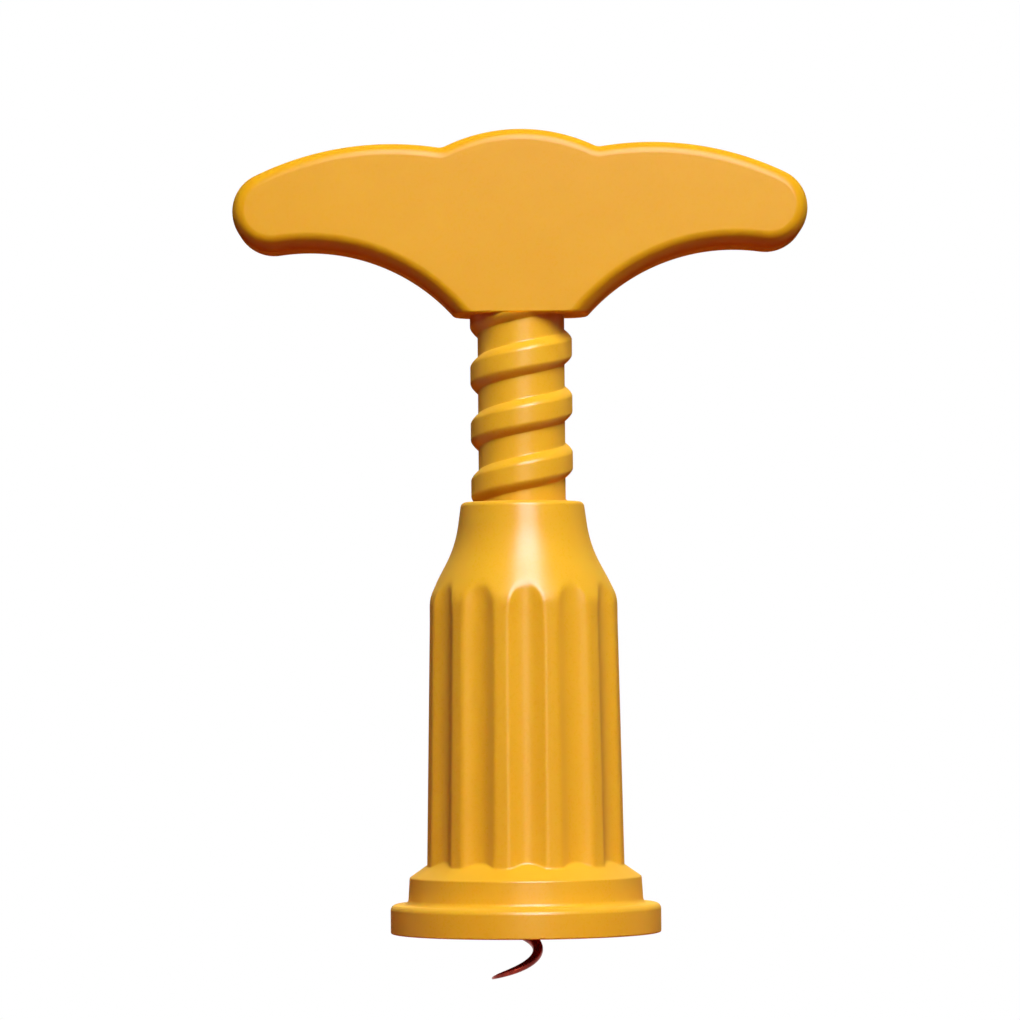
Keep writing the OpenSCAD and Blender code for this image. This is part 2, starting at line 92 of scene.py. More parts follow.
def put_in_scene(name, data):
    item = bpy.data.objects.new(name, data)
    scene.collection.objects.link(item)
    return item


print("orange-yellow as linear light:", [round(c, 3) for c in to_linear("#EFAE16")])

# %% [markdown]
# ## Camera
# The photograph was taken from far off with a long lens, a little below the middle of the object, so the
# handle shows its underside and the bell hardly tapers. A long focal length with a camera almost a metre
# away gives the same flat perspective. The object leans half a degree to the left, so the camera rolls.

# %% Place the camera
IMAGE_PX = 1020
FOCAL_PX = 4968
EYE = Vector((-2.3, -920, 49.7)) * MM
TILT_UP = math.radians(1.77)
ROLL = math.radians(-0.5)
SENSOR_MM, NEAR_CLIP = 36, 0.05

camera_data = bpy.data.cameras.new("photo_camera")
camera_data.sensor_width = SENSOR_MM
camera_data.lens = SENSOR_MM * FOCAL_PX / IMAGE_PX
camera_data.clip_start = NEAR_CLIP
camera = put_in_scene("photo_camera", camera_data)
look = Matrix.Rotation(math.pi / 2 + TILT_UP, 4, "X") @ Matrix.Rotation(ROLL, 4, "Z")
camera.matrix_world = Matrix.Translation(EYE) @ look
scene.camera = camera
print("focal length %.1f mm" % camera_data.lens)

# %% [markdown]
# ## White studio
# In the photograph the object stands before plain white, and yet its sides fall into a deep warm shade. A
# bright white world would light those sides as well. So the world is white only for rays that come from
# the camera, a gloss or glass. On the object it casts a low warm light, a little stronger from above.

# %% World
DOME_LOW, DOME_HIGH = 0.01, 0.05
SKY_FROM, SKY_TO = -0.05, 0.45
scene.view_settings.view_transform = "Standard"


def seen_by_eye(tree):
    rays = add_node(tree, "ShaderNodeLightPath").outputs
    glossy = add_node(tree, "ShaderNodeMath", {"operation": "MAXIMUM"},
                      {0: rays["Is Camera Ray"], 1: rays["Is Glossy Ray"]})
    either = add_node(tree, "ShaderNodeMath", {"operation": "MAXIMUM"},
                      {0: glossy.outputs[0], 1: rays["Is Transmission Ray"]})
    return either.outputs[0]


world = bpy.data.worlds.new("white_studio")
world.use_nodes = True
scene.world = world
tree = world.node_tree
tree.nodes.clear()
seen = seen_by_eye(tree)
sky = add_node(tree, "ShaderNodeSeparateXYZ", {},
               {0: add_node(tree, "ShaderNodeTexCoord").outputs["Generated"]})
dome = add_node(tree, "ShaderNodeMapRange", {"interpolation_type": "SMOOTHSTEP"},
                {"Value": sky.outputs["Z"], "From Min": SKY_FROM, "From Max": SKY_TO,
                 "To Min": DOME_LOW, "To Max": DOME_HIGH})
dim = add_node(tree, "ShaderNodeBackground", {},
               {"Color": to_linear("#FF9C58"), "Strength": dome.outputs[0]})
white = add_node(tree, "ShaderNodeBackground", {}, {"Color": to_linear("#FFFFFF"), "Strength": 1.0})
mixed = add_node(tree, "ShaderNodeMixShader", {}, {0: seen, 1: dim.outputs[0], 2: white.outputs[0]})
add_node(tree, "ShaderNodeOutputWorld", {}, {"Surface": mixed.outputs[0]})
print("world:", len(tree.nodes), "nodes")

# %% [markdown]
# ## Floor
# A floor right under the base would cut the worm off when the handle is wound down, so it lies as far below
# as the worm can reach. Near the object it is plain paper that takes the soft shadow, and further off it
# turns into the white of the background. The light that it throws back is a dark warm red, because in the
# photograph the undersides are lit like that.

# %% Floor
slides = [joint for joint in frame["record"]["behaviour"]["joints"] if joint["type"] == "slide"]
TRAVEL = max(joint["range_m"][1] for joint in slides)
FLOOR_GAP, FLOOR_REACH = 0.3 * MM, 4.0
FLOOR_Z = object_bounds()[0].z - TRAVEL - FLOOR_GAP
FLOOR_TOP_UP = 0.83
PLAIN_TO, WHITE_FROM = 0.10, 0.34

corners = [(x * FLOOR_REACH, y * FLOOR_REACH, FLOOR_Z) for x, y in ((-1, -1), (1, -1), (1, 1), (-1, 1))]
floor_mesh = bpy.data.meshes.new("floor")
floor_mesh.from_pydata(corners, [], [(0, 1, 2, 3)])
floor = put_in_scene("floor", floor_mesh)

# Matt paper has no shine, so all that the eye gets from it is the shadow
paper = bpy.data.materials.new("white paper floor")
paper.use_nodes = True
tree = paper.node_tree
tree.nodes.clear()
seen = seen_by_eye(tree)
place = add_node(tree, "ShaderNodeTexCoord")
away = add_node(tree, "ShaderNodeVectorMath", {"operation": "LENGTH"}, {0: place.outputs["Object"]})
far = add_node(tree, "ShaderNodeMapRange", {"interpolation_type": "SMOOTHSTEP"},
               {"Value": away.outputs["Value"], "From Min": PLAIN_TO, "From Max": WHITE_FROM})
top_up = add_node(tree, "ShaderNodeMath", {"operation": "MULTIPLY"}, {0: seen, 1: FLOOR_TOP_UP})
matt = add_node(tree, "ShaderNodeBsdfDiffuse", {}, {"Color": to_linear("#A3A19D")})
warm = add_node(tree, "ShaderNodeBsdfDiffuse", {}, {"Color": to_linear("#A02410")})
toned = add_node(tree, "ShaderNodeMixShader", {}, {0: seen, 1: warm.outputs[0], 2: matt.outputs[0]})
lit = add_node(tree, "ShaderNodeEmission", {},
               {"Color": to_linear("#FFFFFF"), "Strength": top_up.outputs[0]})
near = add_node(tree, "ShaderNodeAddShader", {}, {0: toned.outputs[0], 1: lit.outputs[0]})
bright = add_node(tree, "ShaderNodeEmission", {}, {"Color": to_linear("#FFFFFF"), "Strength": seen})
both = add_node(tree, "ShaderNodeMixShader", {},
                {0: far.outputs[0], 1: near.outputs[0], 2: bright.outputs[0]})
add_node(tree, "ShaderNodeOutputMaterial", {}, {"Surface": both.outputs[0]})
floor_mesh.materials.append(paper)
print("floor at %.1f mm" % (FLOOR_Z / MM))

# %% [markdown]
# ## Soft lights
# The highlights tell where the light was: a streak down the middle of the neck and a thin line along the
# handle's upper edge. One large softbox in front, above and a little to the right gives the shading, and
# one behind lights the back. To make the highlights with stronger lamps would clip the plastic, so two
# cards that only the gloss sees make them, a cool one above and a warm one low down.

# %% Soft lights
AIM = Vector((0, 0, 80)) * MM


def softbox(name, azimuth, elevation, distance, size, watts, tint):
    light = bpy.data.lights.new(name, "AREA")
    light.shape = "RECTANGLE"
    light.size, light.size_y = size
    light.energy = watts
    light.color = to_linear(tint)[:3]
    lamp = put_in_scene(name, light)
    turn, rise = math.radians(azimuth), math.radians(elevation)
    way = Vector((math.sin(turn) * math.cos(rise), -math.cos(turn) * math.cos(rise), math.sin(rise)))
    lamp.location = AIM + way * distance
    lamp.rotation_euler = way.to_track_quat("Z", "Y").to_euler()
    return lamp


# Azimuth and elevation in degrees, distance and size in metres, watts, tint
softbox("front_softbox", 12, 44, 1.0, (0.80, 0.64), 12.7, "#FFFFFF")
softbox("rear_softbox", 180, 22, 1.1, (0.8, 0.6), 9.0, "#FFFFFF")
for card in (("highlight_card", 9, 37, 0.98, (0.50, 0.88), 60.0, "#DCD8FF"),
             ("low_card", 4, -5, 0.98, (0.50, 0.24), 3.5, "#FFF8D0")):
    softbox(*card).visible_diffuse = False

# %% [markdown]
# ## Moulded plastic
# Handle, stem and bell are injection moulded in ABS. The mould was polished, so the surface shines without
# being a mirror, and it waves a little where the thick parts shrank. The pigment lets a little light in,
# which warms the shade. Two materials built side by side would drift apart, so one function makes both, and
# only the tones and the gloss differ. The Principled shader's subsurface carries red furthest.

# %% Plastic material
def new_material(name):
    material = bpy.data.materials.new(name)
    material.use_nodes = True
    material.node_tree.nodes.clear()
    return material, material.node_tree


# Clouds in the pigment, shrink waves, and grain that is drawn coarse so that it shows
CLOUD_MM, WAVE_MM, GRAIN_MM = 22.0, 9.0, 0.55
SHINE_LOW, SHINE_HIGH, HAZE = 0.25, 0.33, 0.65
SINK_MM, GRIT_MM = 0.6, 0.05
GLOW, GLOW_MM = 0.15, 0.6


def moulded(name, deep, pale, gloss):
    material, tree = new_material(name)
    place = add_node(tree, "ShaderNodeTexCoord")
    cloud = add_node(tree, "ShaderNodeTexNoise", {}, {"Vector": place.outputs["Object"],
                     "Scale": 1 / (CLOUD_MM * MM), "Detail": 3.0, "Roughness": 0.55})
    tone = add_node(tree, "ShaderNodeValToRGB", {}, {"Fac": cloud.outputs["Fac"]})
    tone.color_ramp.elements[0].position = 0.3
    tone.color_ramp.elements[0].color = to_linear(deep)
    tone.color_ramp.elements[1].position = 0.7
    tone.color_ramp.elements[1].color = to_linear(pale)
    wave = add_node(tree, "ShaderNodeTexNoise", {}, {"Vector": place.outputs["Object"],
                    "Scale": 1 / (WAVE_MM * MM), "Detail": 2.0, "Roughness": 0.5})
    grain = add_node(tree, "ShaderNodeTexNoise", {}, {"Vector": place.outputs["Object"],
                     "Scale": 1 / (GRAIN_MM * MM), "Detail": 2.0, "Roughness": 0.6})
    dull = add_node(tree, "ShaderNodeMapRange", {},
                    {"Value": grain.outputs["Fac"], "From Min": 0.3, "From Max": 0.7,
                     "To Min": SHINE_LOW, "To Max": SHINE_HIGH})
    # Seen edge on, the gloss spreads out, so that the outline does not turn white
    graze = add_node(tree, "ShaderNodeLayerWeight", {}, {"Blend": 0.5})
    haze = add_node(tree, "ShaderNodeMapRange", {"interpolation_type": "SMOOTHSTEP"},
                    {"Value": graze.outputs["Facing"], "From Min": 0.3, "From Max": 0.8,
                     "To Min": 0.0, "To Max": HAZE})
    sheen = add_node(tree, "ShaderNodeMath", {"operation": "ADD"},
                     {0: dull.outputs["Result"], 1: haze.outputs["Result"]})
    sink = add_node(tree, "ShaderNodeBump", {}, {"Height": wave.outputs["Fac"], "Strength": 0.05,
                    "Distance": SINK_MM * MM})
    fine = add_node(tree, "ShaderNodeBump", {}, {"Height": grain.outputs["Fac"], "Strength": 0.04,
                    "Distance": GRIT_MM * MM, "Normal": sink.outputs["Normal"]})
    skin = add_node(tree, "ShaderNodeBsdfPrincipled", {"subsurface_method": "RANDOM_WALK"},
                    {"Base Color": tone.outputs["Color"], "Roughness": sheen.outputs[0],
                     "Normal": fine.outputs["Normal"], "IOR": 1.5, "Specular IOR Level": gloss,
                     "Subsurface Weight": GLOW, "Subsurface Radius": (1.0, 0.4, 0.15),
                     "Subsurface Scale": GLOW_MM * MM})
    add_node(tree, "ShaderNodeOutputMaterial", {}, {"Surface": skin.outputs["BSDF"]})
    return material


# Satin: the flat face stays even in tone, with one soft line of light along its upper edge
plastic = moulded("orange ABS of the handle", "#EFAE16", "#F2B31A", 0.06)
# Polished: a pale streak runs down the neck, and thin ones along thread and ridges
yellow_plastic = moulded("yellower ABS of bell and stem", "#F4B926", "#F8BE2C", 0.13)
print("plastics:", plastic.name, "and", yellow_plastic.name)

# %% [markdown]
# ## White acetal, dark wire and zinc-plated steel
# The bush and the ring that run inside the bell are natural white acetal, a slippery plastic that looks
# like wax. The worm is drawn steel wire, darkened and oiled, with fine marks along its length that are
# drawn coarser than they are so that they show. Screws, clip and pin are steel with a thin bright zinc
# plate.

# %% Acetal, wire and zinc
MOTTLE_MM, STAIN_MM, SCRATCH_MM, CRYSTAL_MM = 5, 2.4, 0.35, 0.5

# Moulded and unpainted: a waxy white with a soft broad shine
acetal, tree = new_material("natural white acetal")
place = add_node(tree, "ShaderNodeTexCoord")
mottle = add_node(tree, "ShaderNodeTexNoise", {}, {"Vector": place.outputs["Object"],
                  "Scale": 1 / (MOTTLE_MM * MM), "Detail": 3.0})
tone = add_node(tree, "ShaderNodeValToRGB", {}, {"Fac": mottle.outputs["Fac"]})
tone.color_ramp.elements[0].color = to_linear("#E6DFCD")
tone.color_ramp.elements[1].color = to_linear("#F3EEE2")
waxy = add_node(tree, "ShaderNodeMapRange", {},
                {"Value": mottle.outputs["Fac"], "To Min": 0.36, "To Max": 0.5})
skin = add_node(tree, "ShaderNodeBsdfPrincipled", {},
                {"Base Color": tone.outputs["Color"], "Roughness": waxy.outputs["Result"], "IOR": 1.48,
                 "Subsurface Weight": 0.3, "Subsurface Radius": (1.0, 0.9, 0.7),
                 "Subsurface Scale": 1.0 * MM})
add_node(tree, "ShaderNodeOutputMaterial", {}, {"Surface": skin.outputs["BSDF"]})

# Drawn, darkened and oiled: a red-brown near black, with a narrow broken glint along the wire
dark_wire, tree = new_material("darkened drawn steel wire")
place = add_node(tree, "ShaderNodeTexCoord")
stain = add_node(tree, "ShaderNodeTexNoise", {}, {"Vector": place.outputs["Object"],
                 "Scale": 1 / (STAIN_MM * MM), "Detail": 4.0})
tone = add_node(tree, "ShaderNodeValToRGB", {}, {"Fac": stain.outputs["Fac"]})
tone.color_ramp.elements[0].position = 0.35
tone.color_ramp.elements[0].color = to_linear("#6E1A10")
tone.color_ramp.elements[1].position = 0.7
tone.color_ramp.elements[1].color = to_linear("#AC3A28")
scratch = add_node(tree, "ShaderNodeTexNoise", {}, {"Vector": place.outputs["Object"],
                   "Scale": 1 / (SCRATCH_MM * MM), "Detail": 2.0})
oily = add_node(tree, "ShaderNodeMapRange", {},
                {"Value": scratch.outputs["Fac"], "From Min": 0.3, "From Max": 0.7,
                 "To Min": 0.22, "To Max": 0.42})
marks = add_node(tree, "ShaderNodeBump", {}, {"Height": scratch.outputs["Fac"], "Strength": 0.12,
                 "Distance": GRIT_MM * MM})
skin = add_node(tree, "ShaderNodeBsdfPrincipled", {},
                {"Base Color": tone.outputs["Color"], "Roughness": oily.outputs["Result"], "Metallic": 0.75,
                 "Normal": marks.outputs["Normal"]})
add_node(tree, "ShaderNodeOutputMaterial", {}, {"Surface": skin.outputs["BSDF"]})

# Plated: a bright bluish grey whose crystals are drawn larger than they are, so that they show
zinc, tree = new_material("zinc-plated steel")
place = add_node(tree, "ShaderNodeTexCoord")
plate = add_node(tree, "ShaderNodeTexVoronoi", {},
                 {"Vector": place.outputs["Object"], "Scale": 1 / (CRYSTAL_MM * MM)})
tone = add_node(tree, "ShaderNodeValToRGB", {}, {"Fac": plate.outputs["Distance"]})
tone.color_ramp.elements[0].color = to_linear("#AFB4BA")
tone.color_ramp.elements[1].color = to_linear("#CDD0D3")
worn = add_node(tree, "ShaderNodeMapRange", {},
                {"Value": plate.outputs["Distance"], "To Min": 0.2, "To Max": 0.34})
skin = add_node(tree, "ShaderNodeBsdfPrincipled", {},
                {"Base Color": tone.outputs["Color"], "Roughness": worn.outputs["Result"], "Metallic": 1.0})
add_node(tree, "ShaderNodeOutputMaterial", {}, {"Surface": skin.outputs["BSDF"]})
print("materials:", [m.name for m in (acetal, dark_wire, zinc)])

# %% [markdown]
# ## Turning plans into meshes
# Four moves make most of the pieces. A closed outline swept straight gives a prism, a section spun about
# the axis gives a turned part, a boolean joins or carves, and the last step freezes a piece: its modifiers
# become plain mesh, its hard corners are marked, and its flat faces keep flat shading next to round edges.

# %% Mesh helpers
SAME_SPOT = 0.0001 * MM


def new_piece(name, bm, material):
    bmesh.ops.recalc_face_normals(bm, faces=bm.faces[:])
    mesh = bpy.data.meshes.new(name)
    bm.to_mesh(mesh)
    bm.free()
    mesh.materials.append(material)
    return put_in_scene(name, mesh)


def bridge(bm, this, after):
    for i in range(len(this)):
        j = (i + 1) % len(this)
        bm.faces.new((this[i], this[j], after[j], after[i]))


def prism(name, outline, y_from, y_to, material):
    bm = bmesh.new()
    near = [bm.verts.new((x * MM, y_from * MM, z * MM)) for x, z in outline]
    far = [bm.verts.new((x * MM, y_to * MM, z * MM)) for x, z in outline]
    bm.faces.new(near)
    bm.faces.new(far)
    bridge(bm, near, far)
    return new_piece(name, bm, material)


def block(name, low, high, material):
    outline = [(low[0], low[2]), (high[0], low[2]), (high[0], high[2]), (low[0], high[2])]
    return prism(name, outline, low[1], high[1], material)


def turned(name, section, material, steps=96, sweep=360.0):
    bm = bmesh.new()
    count = steps if sweep == 360.0 else steps + 1
    rings = []
    for k in range(count):
        a = math.radians(sweep * k / steps)
        rings.append([bm.verts.new((r * MM * math.cos(a), r * MM * math.sin(a), z * MM)) for r, z in section])
    for k in range(steps):
        bridge(bm, rings[k], rings[(k + 1) % count])
    if sweep != 360.0:
        bm.faces.new(rings[0])
        bm.faces.new(rings[-1])
    return new_piece(name, bm, material)


def rod(name, centre, radius, y_from, y_to, material, sides=48):
    ring = [(centre[0] + radius * math.cos(2 * math.pi * k / sides),
             centre[1] + radius * math.sin(2 * math.pi * k / sides)) for k in range(sides)]
    return prism(name, ring, y_from, y_to, material)


def cut_flat(bm, level, side):
    cut = bmesh.ops.bisect_plane(bm, geom=bm.verts[:] + bm.edges[:] + bm.faces[:], dist=SAME_SPOT,
                                 plane_co=(0, 0, level * MM), plane_no=(0, 0, side), clear_outer=True)
    edge = [e for e in cut["geom_cut"] if isinstance(e, bmesh.types.BMEdge)]
    bmesh.ops.edgeloop_fill(bm, edges=edge)
    return edge


def freeze(piece):
    graph = bpy.context.evaluated_depsgraph_get()
    mesh = bpy.data.meshes.new_from_object(piece.evaluated_get(graph))
    old = piece.data
    piece.modifiers.clear()
    piece.data = mesh
    mesh.name = piece.name
    bpy.data.meshes.remove(old)
    return piece


def carve(piece, tools, operation="DIFFERENCE"):
    for tool in tools:
        step = piece.modifiers.new("carve", "BOOLEAN")
        step.operation, step.solver, step.object = operation, "EXACT", tool
    freeze(piece)
    for tool in tools:
        mesh = tool.data
        bpy.data.objects.remove(tool)
        bpy.data.meshes.remove(mesh)
    return piece


def finish_surface(piece, corner=35.0):
    bm = bmesh.new()
    bm.from_mesh(piece.data)
    bmesh.ops.remove_doubles(bm, verts=bm.verts[:], dist=SAME_SPOT)
    for face in bm.faces:
        face.material_index = 0
    bm.to_mesh(piece.data)
    bm.free()
    finish = [m for m in piece.data.materials if m][0]
    piece.data.materials.clear()
    piece.data.materials.append(finish)
    piece.data.polygons.foreach_set("use_smooth", [True] * len(piece.data.polygons))
    piece.data.set_sharp_from_angle(angle=math.radians(corner))
    weigh = piece.modifiers.new("even normals", "WEIGHTED_NORMAL")
    weigh.keep_sharp = True
    weigh.weight = 60
    return freeze(piece)


def dress(piece, body, node):
    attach(piece, body)
    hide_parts(node)
    triangles = sum(len(p.vertices) - 2 for p in piece.data.polygons)
    bm = bmesh.new()
    bm.from_mesh(piece.data)
    loose = sum(1 for e in bm.edges if len(e.link_faces) != 2)
    volume = bm.calc_volume(signed=True) / MM ** 3
    bm.free()
    print("%s: %d triangles, %d open edges, %.0f mm3" % (piece.name, triangles, loose, volume))


def arc(centre, r, start, end, steps):
    angles = [math.radians(start + (end - start) * i / steps) for i in range(steps + 1)]
    return [(centre[0] + r * math.cos(a), centre[1] + r * math.sin(a)) for a in angles]


def heading(a, b):
    return math.degrees(math.atan2(b[1] - a[1], b[0] - a[0]))


print("helpers ready")

# %% [markdown]
# ## The handle
# Seen from the front, the handle's outline is a row of arcs that run into each other: a dome over the stem,
# a tight hollow, a long wing, a round tip and the finger hollow beneath. A line drawn by eye would never be
# that fair, so the arcs' centres are worked out from their radii. The same function draws the outline at
# any step inwards, which later rounds the edge and makes the hollow.

# %% Handle outline
FOOT_Z, SPAN, HEIGHT, THICK = 114.2, 106.1, 34.0, 18.0
EDGE_R, WALL, FOOT_W = 2.3, 2.2, 24.8
DOME_R, VALLEY_R, WING_R, WING_X, WING_H, TIP_R, UNDER_R = 32.0, 2.5, 57.0, 24.0, 31.4, 7.3, 36.0


def crossing(c1, r1, c2, r2):
    span = Vector(c2) - Vector(c1)
    d = span.length
    along = (d * d + r1 * r1 - r2 * r2) / (2 * d)
    aside = math.sqrt(r1 * r1 - along * along)
    u = span / d
    return tuple(Vector(c1) + along * u + aside * Vector((-u[1], u[0])))


dome_c = (0.0, FOOT_Z + HEIGHT - DOME_R)
wing_c = (WING_X, FOOT_Z + WING_H - WING_R)
tip_x = SPAN / 2 - TIP_R
tip_c = (tip_x, wing_c[1] + math.sqrt((WING_R - TIP_R) ** 2 - (tip_x - WING_X) ** 2))
valley_c = crossing(dome_c, DOME_R + VALLEY_R, wing_c, WING_R + VALLEY_R)
under_c = crossing(tip_c, UNDER_R + TIP_R, (FOOT_W / 2, FOOT_Z), UNDER_R)

UNDER_STEPS, TIP_STEPS, WING_STEPS, VALLEY_STEPS, DOME_STEPS = 40, 30, 26, 10, 16
# How far each point of the tip belongs to the underside, from 1 below to 0 above
UNDERNESS = [0.5 + 0.5 * math.cos(math.pi * i / TIP_STEPS) for i in range(TIP_STEPS + 1)]


def handle_outline(d, low, d_under=None):
    d_under = d if d_under is None else d_under
    u = UNDER_R + d_under
    foot_angle = 180 - math.degrees(math.asin((low - under_c[1]) / u))
    half = arc(under_c, u, foot_angle, heading(under_c, tip_c), UNDER_STEPS)
    tip = arc((0, 0), 1.0, heading(under_c, tip_c) - 180, heading(wing_c, tip_c), TIP_STEPS)
    reach = [TIP_R - d - (d_under - d) * f for f in UNDERNESS]
    half += [(tip_c[0] + x * r, tip_c[1] + z * r) for (x, z), r in zip(tip, reach)][1:]
    half += arc(wing_c, WING_R - d, heading(wing_c, tip_c), heading(wing_c, valley_c), WING_STEPS)[1:]
    half += arc(valley_c, VALLEY_R + d, heading(valley_c, wing_c), heading(valley_c, dome_c),
                VALLEY_STEPS)[1:]
    half += arc(dome_c, DOME_R - d, heading(dome_c, valley_c), 90, DOME_STEPS)[1:]
    return half + [(-x, z) for x, z in half[-2::-1]]


print("outline points:", len(handle_outline(0, FOOT_Z)))

# %% [markdown]
# ## The handle's shells
# The handle is two hollow shells that meet on a parting line around its edge. Inside each are a socket for
# the stem's square tenon, four screw bosses and two ribs. A bevel would round every edge alike, but under
# the wings the real edge starts tight and then runs out slowly. So ring after ring of the outline is laid,
# each a step further in and forward, and the foot is cut off flat. The rear shell is the front one
# mirrored, with counterbores for the screws.

# %% Handle shells
EDGE_STEPS, PART_LINE, FOOT_ROUND = 18, 0.12, 0.4
UNDER_TIGHT, UNDER_SLACK, UNDER_BEND = 2.0, 6.0, math.radians(50)
SCREW_X, SCREW_Z = (-38.0, -15.0, 15.0, 38.0), FOOT_Z + 21.0
SCREW_R, SCREW_L, HEAD_R, HEAD_H, HEAD_SINK = 1.5, 10.6, 2.8, 2.0, 0.8
SCREW_SEAT = THICK / 2 - HEAD_SINK - HEAD_H
BOSS_WALL, BOSS_SIDES, RIB_X, RIB_HALF, HEAD_ROOM, ROUND_STEPS = 1.8, 40, 26.5, 0.8, 0.35, 4
TENON_W, TENON_H, FIT = 11.0, 23.8, 0.06
PIN_R, PIN_X, PIN_Z = 1.25, 3.45, FOOT_Z + 12.0
PIN_HALF = THICK / 2 - WALL / 2 - FIT


def under_edge(pitch):
    bend = min(pitch, UNDER_BEND)
    past = math.sin(pitch) - math.sin(bend)
    whole = UNDER_TIGHT * math.sin(UNDER_BEND) + UNDER_SLACK * (1 - math.sin(UNDER_BEND))
    inset = whole - UNDER_TIGHT * math.sin(bend) - UNDER_SLACK * past
    return inset, UNDER_TIGHT * (1 - math.cos(bend)) + UNDER_SLACK * (math.cos(bend) - math.cos(pitch))


def shell_blank(name):
    run_on = 3 * EDGE_R
    half = [1.0] * UNDER_STEPS + UNDERNESS + [0.0] * (WING_STEPS + VALLEY_STEPS + DOME_STEPS)
    under_share = half + half[-2::-1]
    front_y = -THICK / 2
    rings = [(PART_LINE, 0.0, PART_LINE, 0.0), (0.0, -PART_LINE, 0.0, -PART_LINE)]
    for i in range(EDGE_STEPS + 1):
        pitch = math.radians(90 * (1 - i / EDGE_STEPS))
        d_top, back_top = EDGE_R * (1 - math.sin(pitch)), EDGE_R * (1 - math.cos(pitch))
        d_under, back_under = under_edge(pitch)
        rings.append((d_top, front_y + back_top, d_under, front_y + back_under))
    bm = bmesh.new()
    loops = [[bm.verts.new((x * MM, (y + (y_under - y) * f) * MM, z * MM))
              for (x, z), f in zip(handle_outline(d, FOOT_Z - run_on + d_under, d_under), under_share)]
             for d, y, d_under, y_under in rings]
    bm.faces.new(loops[0])
    bm.faces.new(loops[-1])
    for this, after in zip(loops, loops[1:]):
        bridge(bm, this, after)
    edge = cut_flat(bm, FOOT_Z, -1)
    rim = [e for e in edge if min(v.co.y for v in e.verts) < -PART_LINE * MM]
    bmesh.ops.bevel(bm, geom=rim, offset=FOOT_ROUND * MM, segments=ROUND_STEPS, profile=0.5, affect="EDGES")
    return new_piece(name, bm, plastic)


def hollow(name):
    depth = THICK / 2 - WALL
    socket = TENON_W / 2 + FIT + WALL
    space = prism(name, handle_outline(WALL, FOOT_Z + WALL), -depth, 1.0, plastic)
    keep = [rod("boss", (x, SCREW_Z), SCREW_R + FIT + BOSS_WALL, -THICK, THICK, plastic, BOSS_SIDES)
            for x in SCREW_X]
    keep += [block("rib", (x - RIB_HALF, -THICK, FOOT_Z), (x + RIB_HALF, THICK, FOOT_Z + HEIGHT), plastic)
             for x in (-RIB_X, RIB_X)]
    keep.append(block("socket", (-socket, -THICK, FOOT_Z - 1),
                      (socket, THICK, FOOT_Z + TENON_H + FIT + WALL), plastic))
    return carve(space, keep)


def handle_shell(name):
    slot = TENON_W / 2 + FIT
    return carve(shell_blank(name), [
        hollow("space"),
        block("slot", (-slot, -slot, FOOT_Z - 1), (slot, slot, FOOT_Z + TENON_H + FIT), plastic),
        rod("pin_hole", (PIN_X, PIN_Z), PIN_R + FIT, -PIN_HALF - FIT, 1.0, plastic)])


front = handle_shell("handle_front_shell")
carve(front, [rod("screw_hole", (x, SCREW_Z), SCREW_R + FIT, SCREW_SEAT - SCREW_L - 2 * FIT, 1.0, plastic)
              for x in SCREW_X])
finish_surface(front)

rear = handle_shell("handle_rear_shell")
rear.data.transform(Matrix.Scale(-1, 4, (0, 1, 0)))
rear.data.flip_normals()
carve(rear, [rod("screw_hole", (x, SCREW_Z), SCREW_R + FIT, -1.0, THICK, plastic) for x in SCREW_X]
      + [rod("counterbore", (x, SCREW_Z), HEAD_R + HEAD_ROOM, SCREW_SEAT, THICK, plastic) for x in SCREW_X])
finish_surface(rear)
dress(front, "spindle", "handle_front")
dress(rear, "spindle", "handle_rear")

# %% [markdown]
# ## The stem's thread
# The stem is a thick core with one coarse ridge wound around it, rounded over its crest and crisp at its
# foot. A ridge swept on its own would have to be joined to a cylinder all along the helix. Instead one
# sheet of points is wrapped into the whole surface in Geometry Nodes: along the sheet it climbs the helix,
# across the sheet it crosses one pitch, and a power curve lets it fall from the crest to the core. Where
# one turn ends the next begins, so merging close points closes the seam.

# %% Thread tree
PITCH, CORE_R, CREST_R = 10.5, 8.05, 9.45
CREST_W, ROOT_W, SOFT, BELLY = 3.5, 6.3, 0.3, 1.6
THREAD_ANGLE = 202.0
TURNS, TURNS_BELOW, STEPS_PER_TURN, ACROSS = 9, 8, 96, 64
SEAM_MERGE = 0.002 * MM


def tree_with_inputs(name, floats):
    tree = bpy.data.node_groups.new(name, "GeometryNodeTree")
    tree.interface.new_socket("Geometry", in_out="INPUT", socket_type="NodeSocketGeometry")
    for label in floats:
        tree.interface.new_socket(label, in_out="INPUT", socket_type="NodeSocketFloat")
    tree.interface.new_socket("Geometry", in_out="OUTPUT", socket_type="NodeSocketGeometry")
    return tree, tree.nodes.new("NodeGroupInput").outputs


def end_tree(tree, geometry, material):
    real = add_node(tree, "GeometryNodeRealizeInstances", {}, {"Geometry": geometry})
    coated = add_node(tree, "GeometryNodeSetMaterial", {},
                      {"Geometry": real.outputs[0], "Material": material})
    add_node(tree, "NodeGroupOutput", {}, {"Geometry": coated.outputs[0]})


def set_tree(piece, tree, values):
    step = piece.modifiers.new(tree.name, "NODES")
    step.node_group = tree
    for item in tree.interface.items_tree:
        if item.in_out == "INPUT" and item.name in values:
            step[item.identifier] = values[item.name]
    return piece


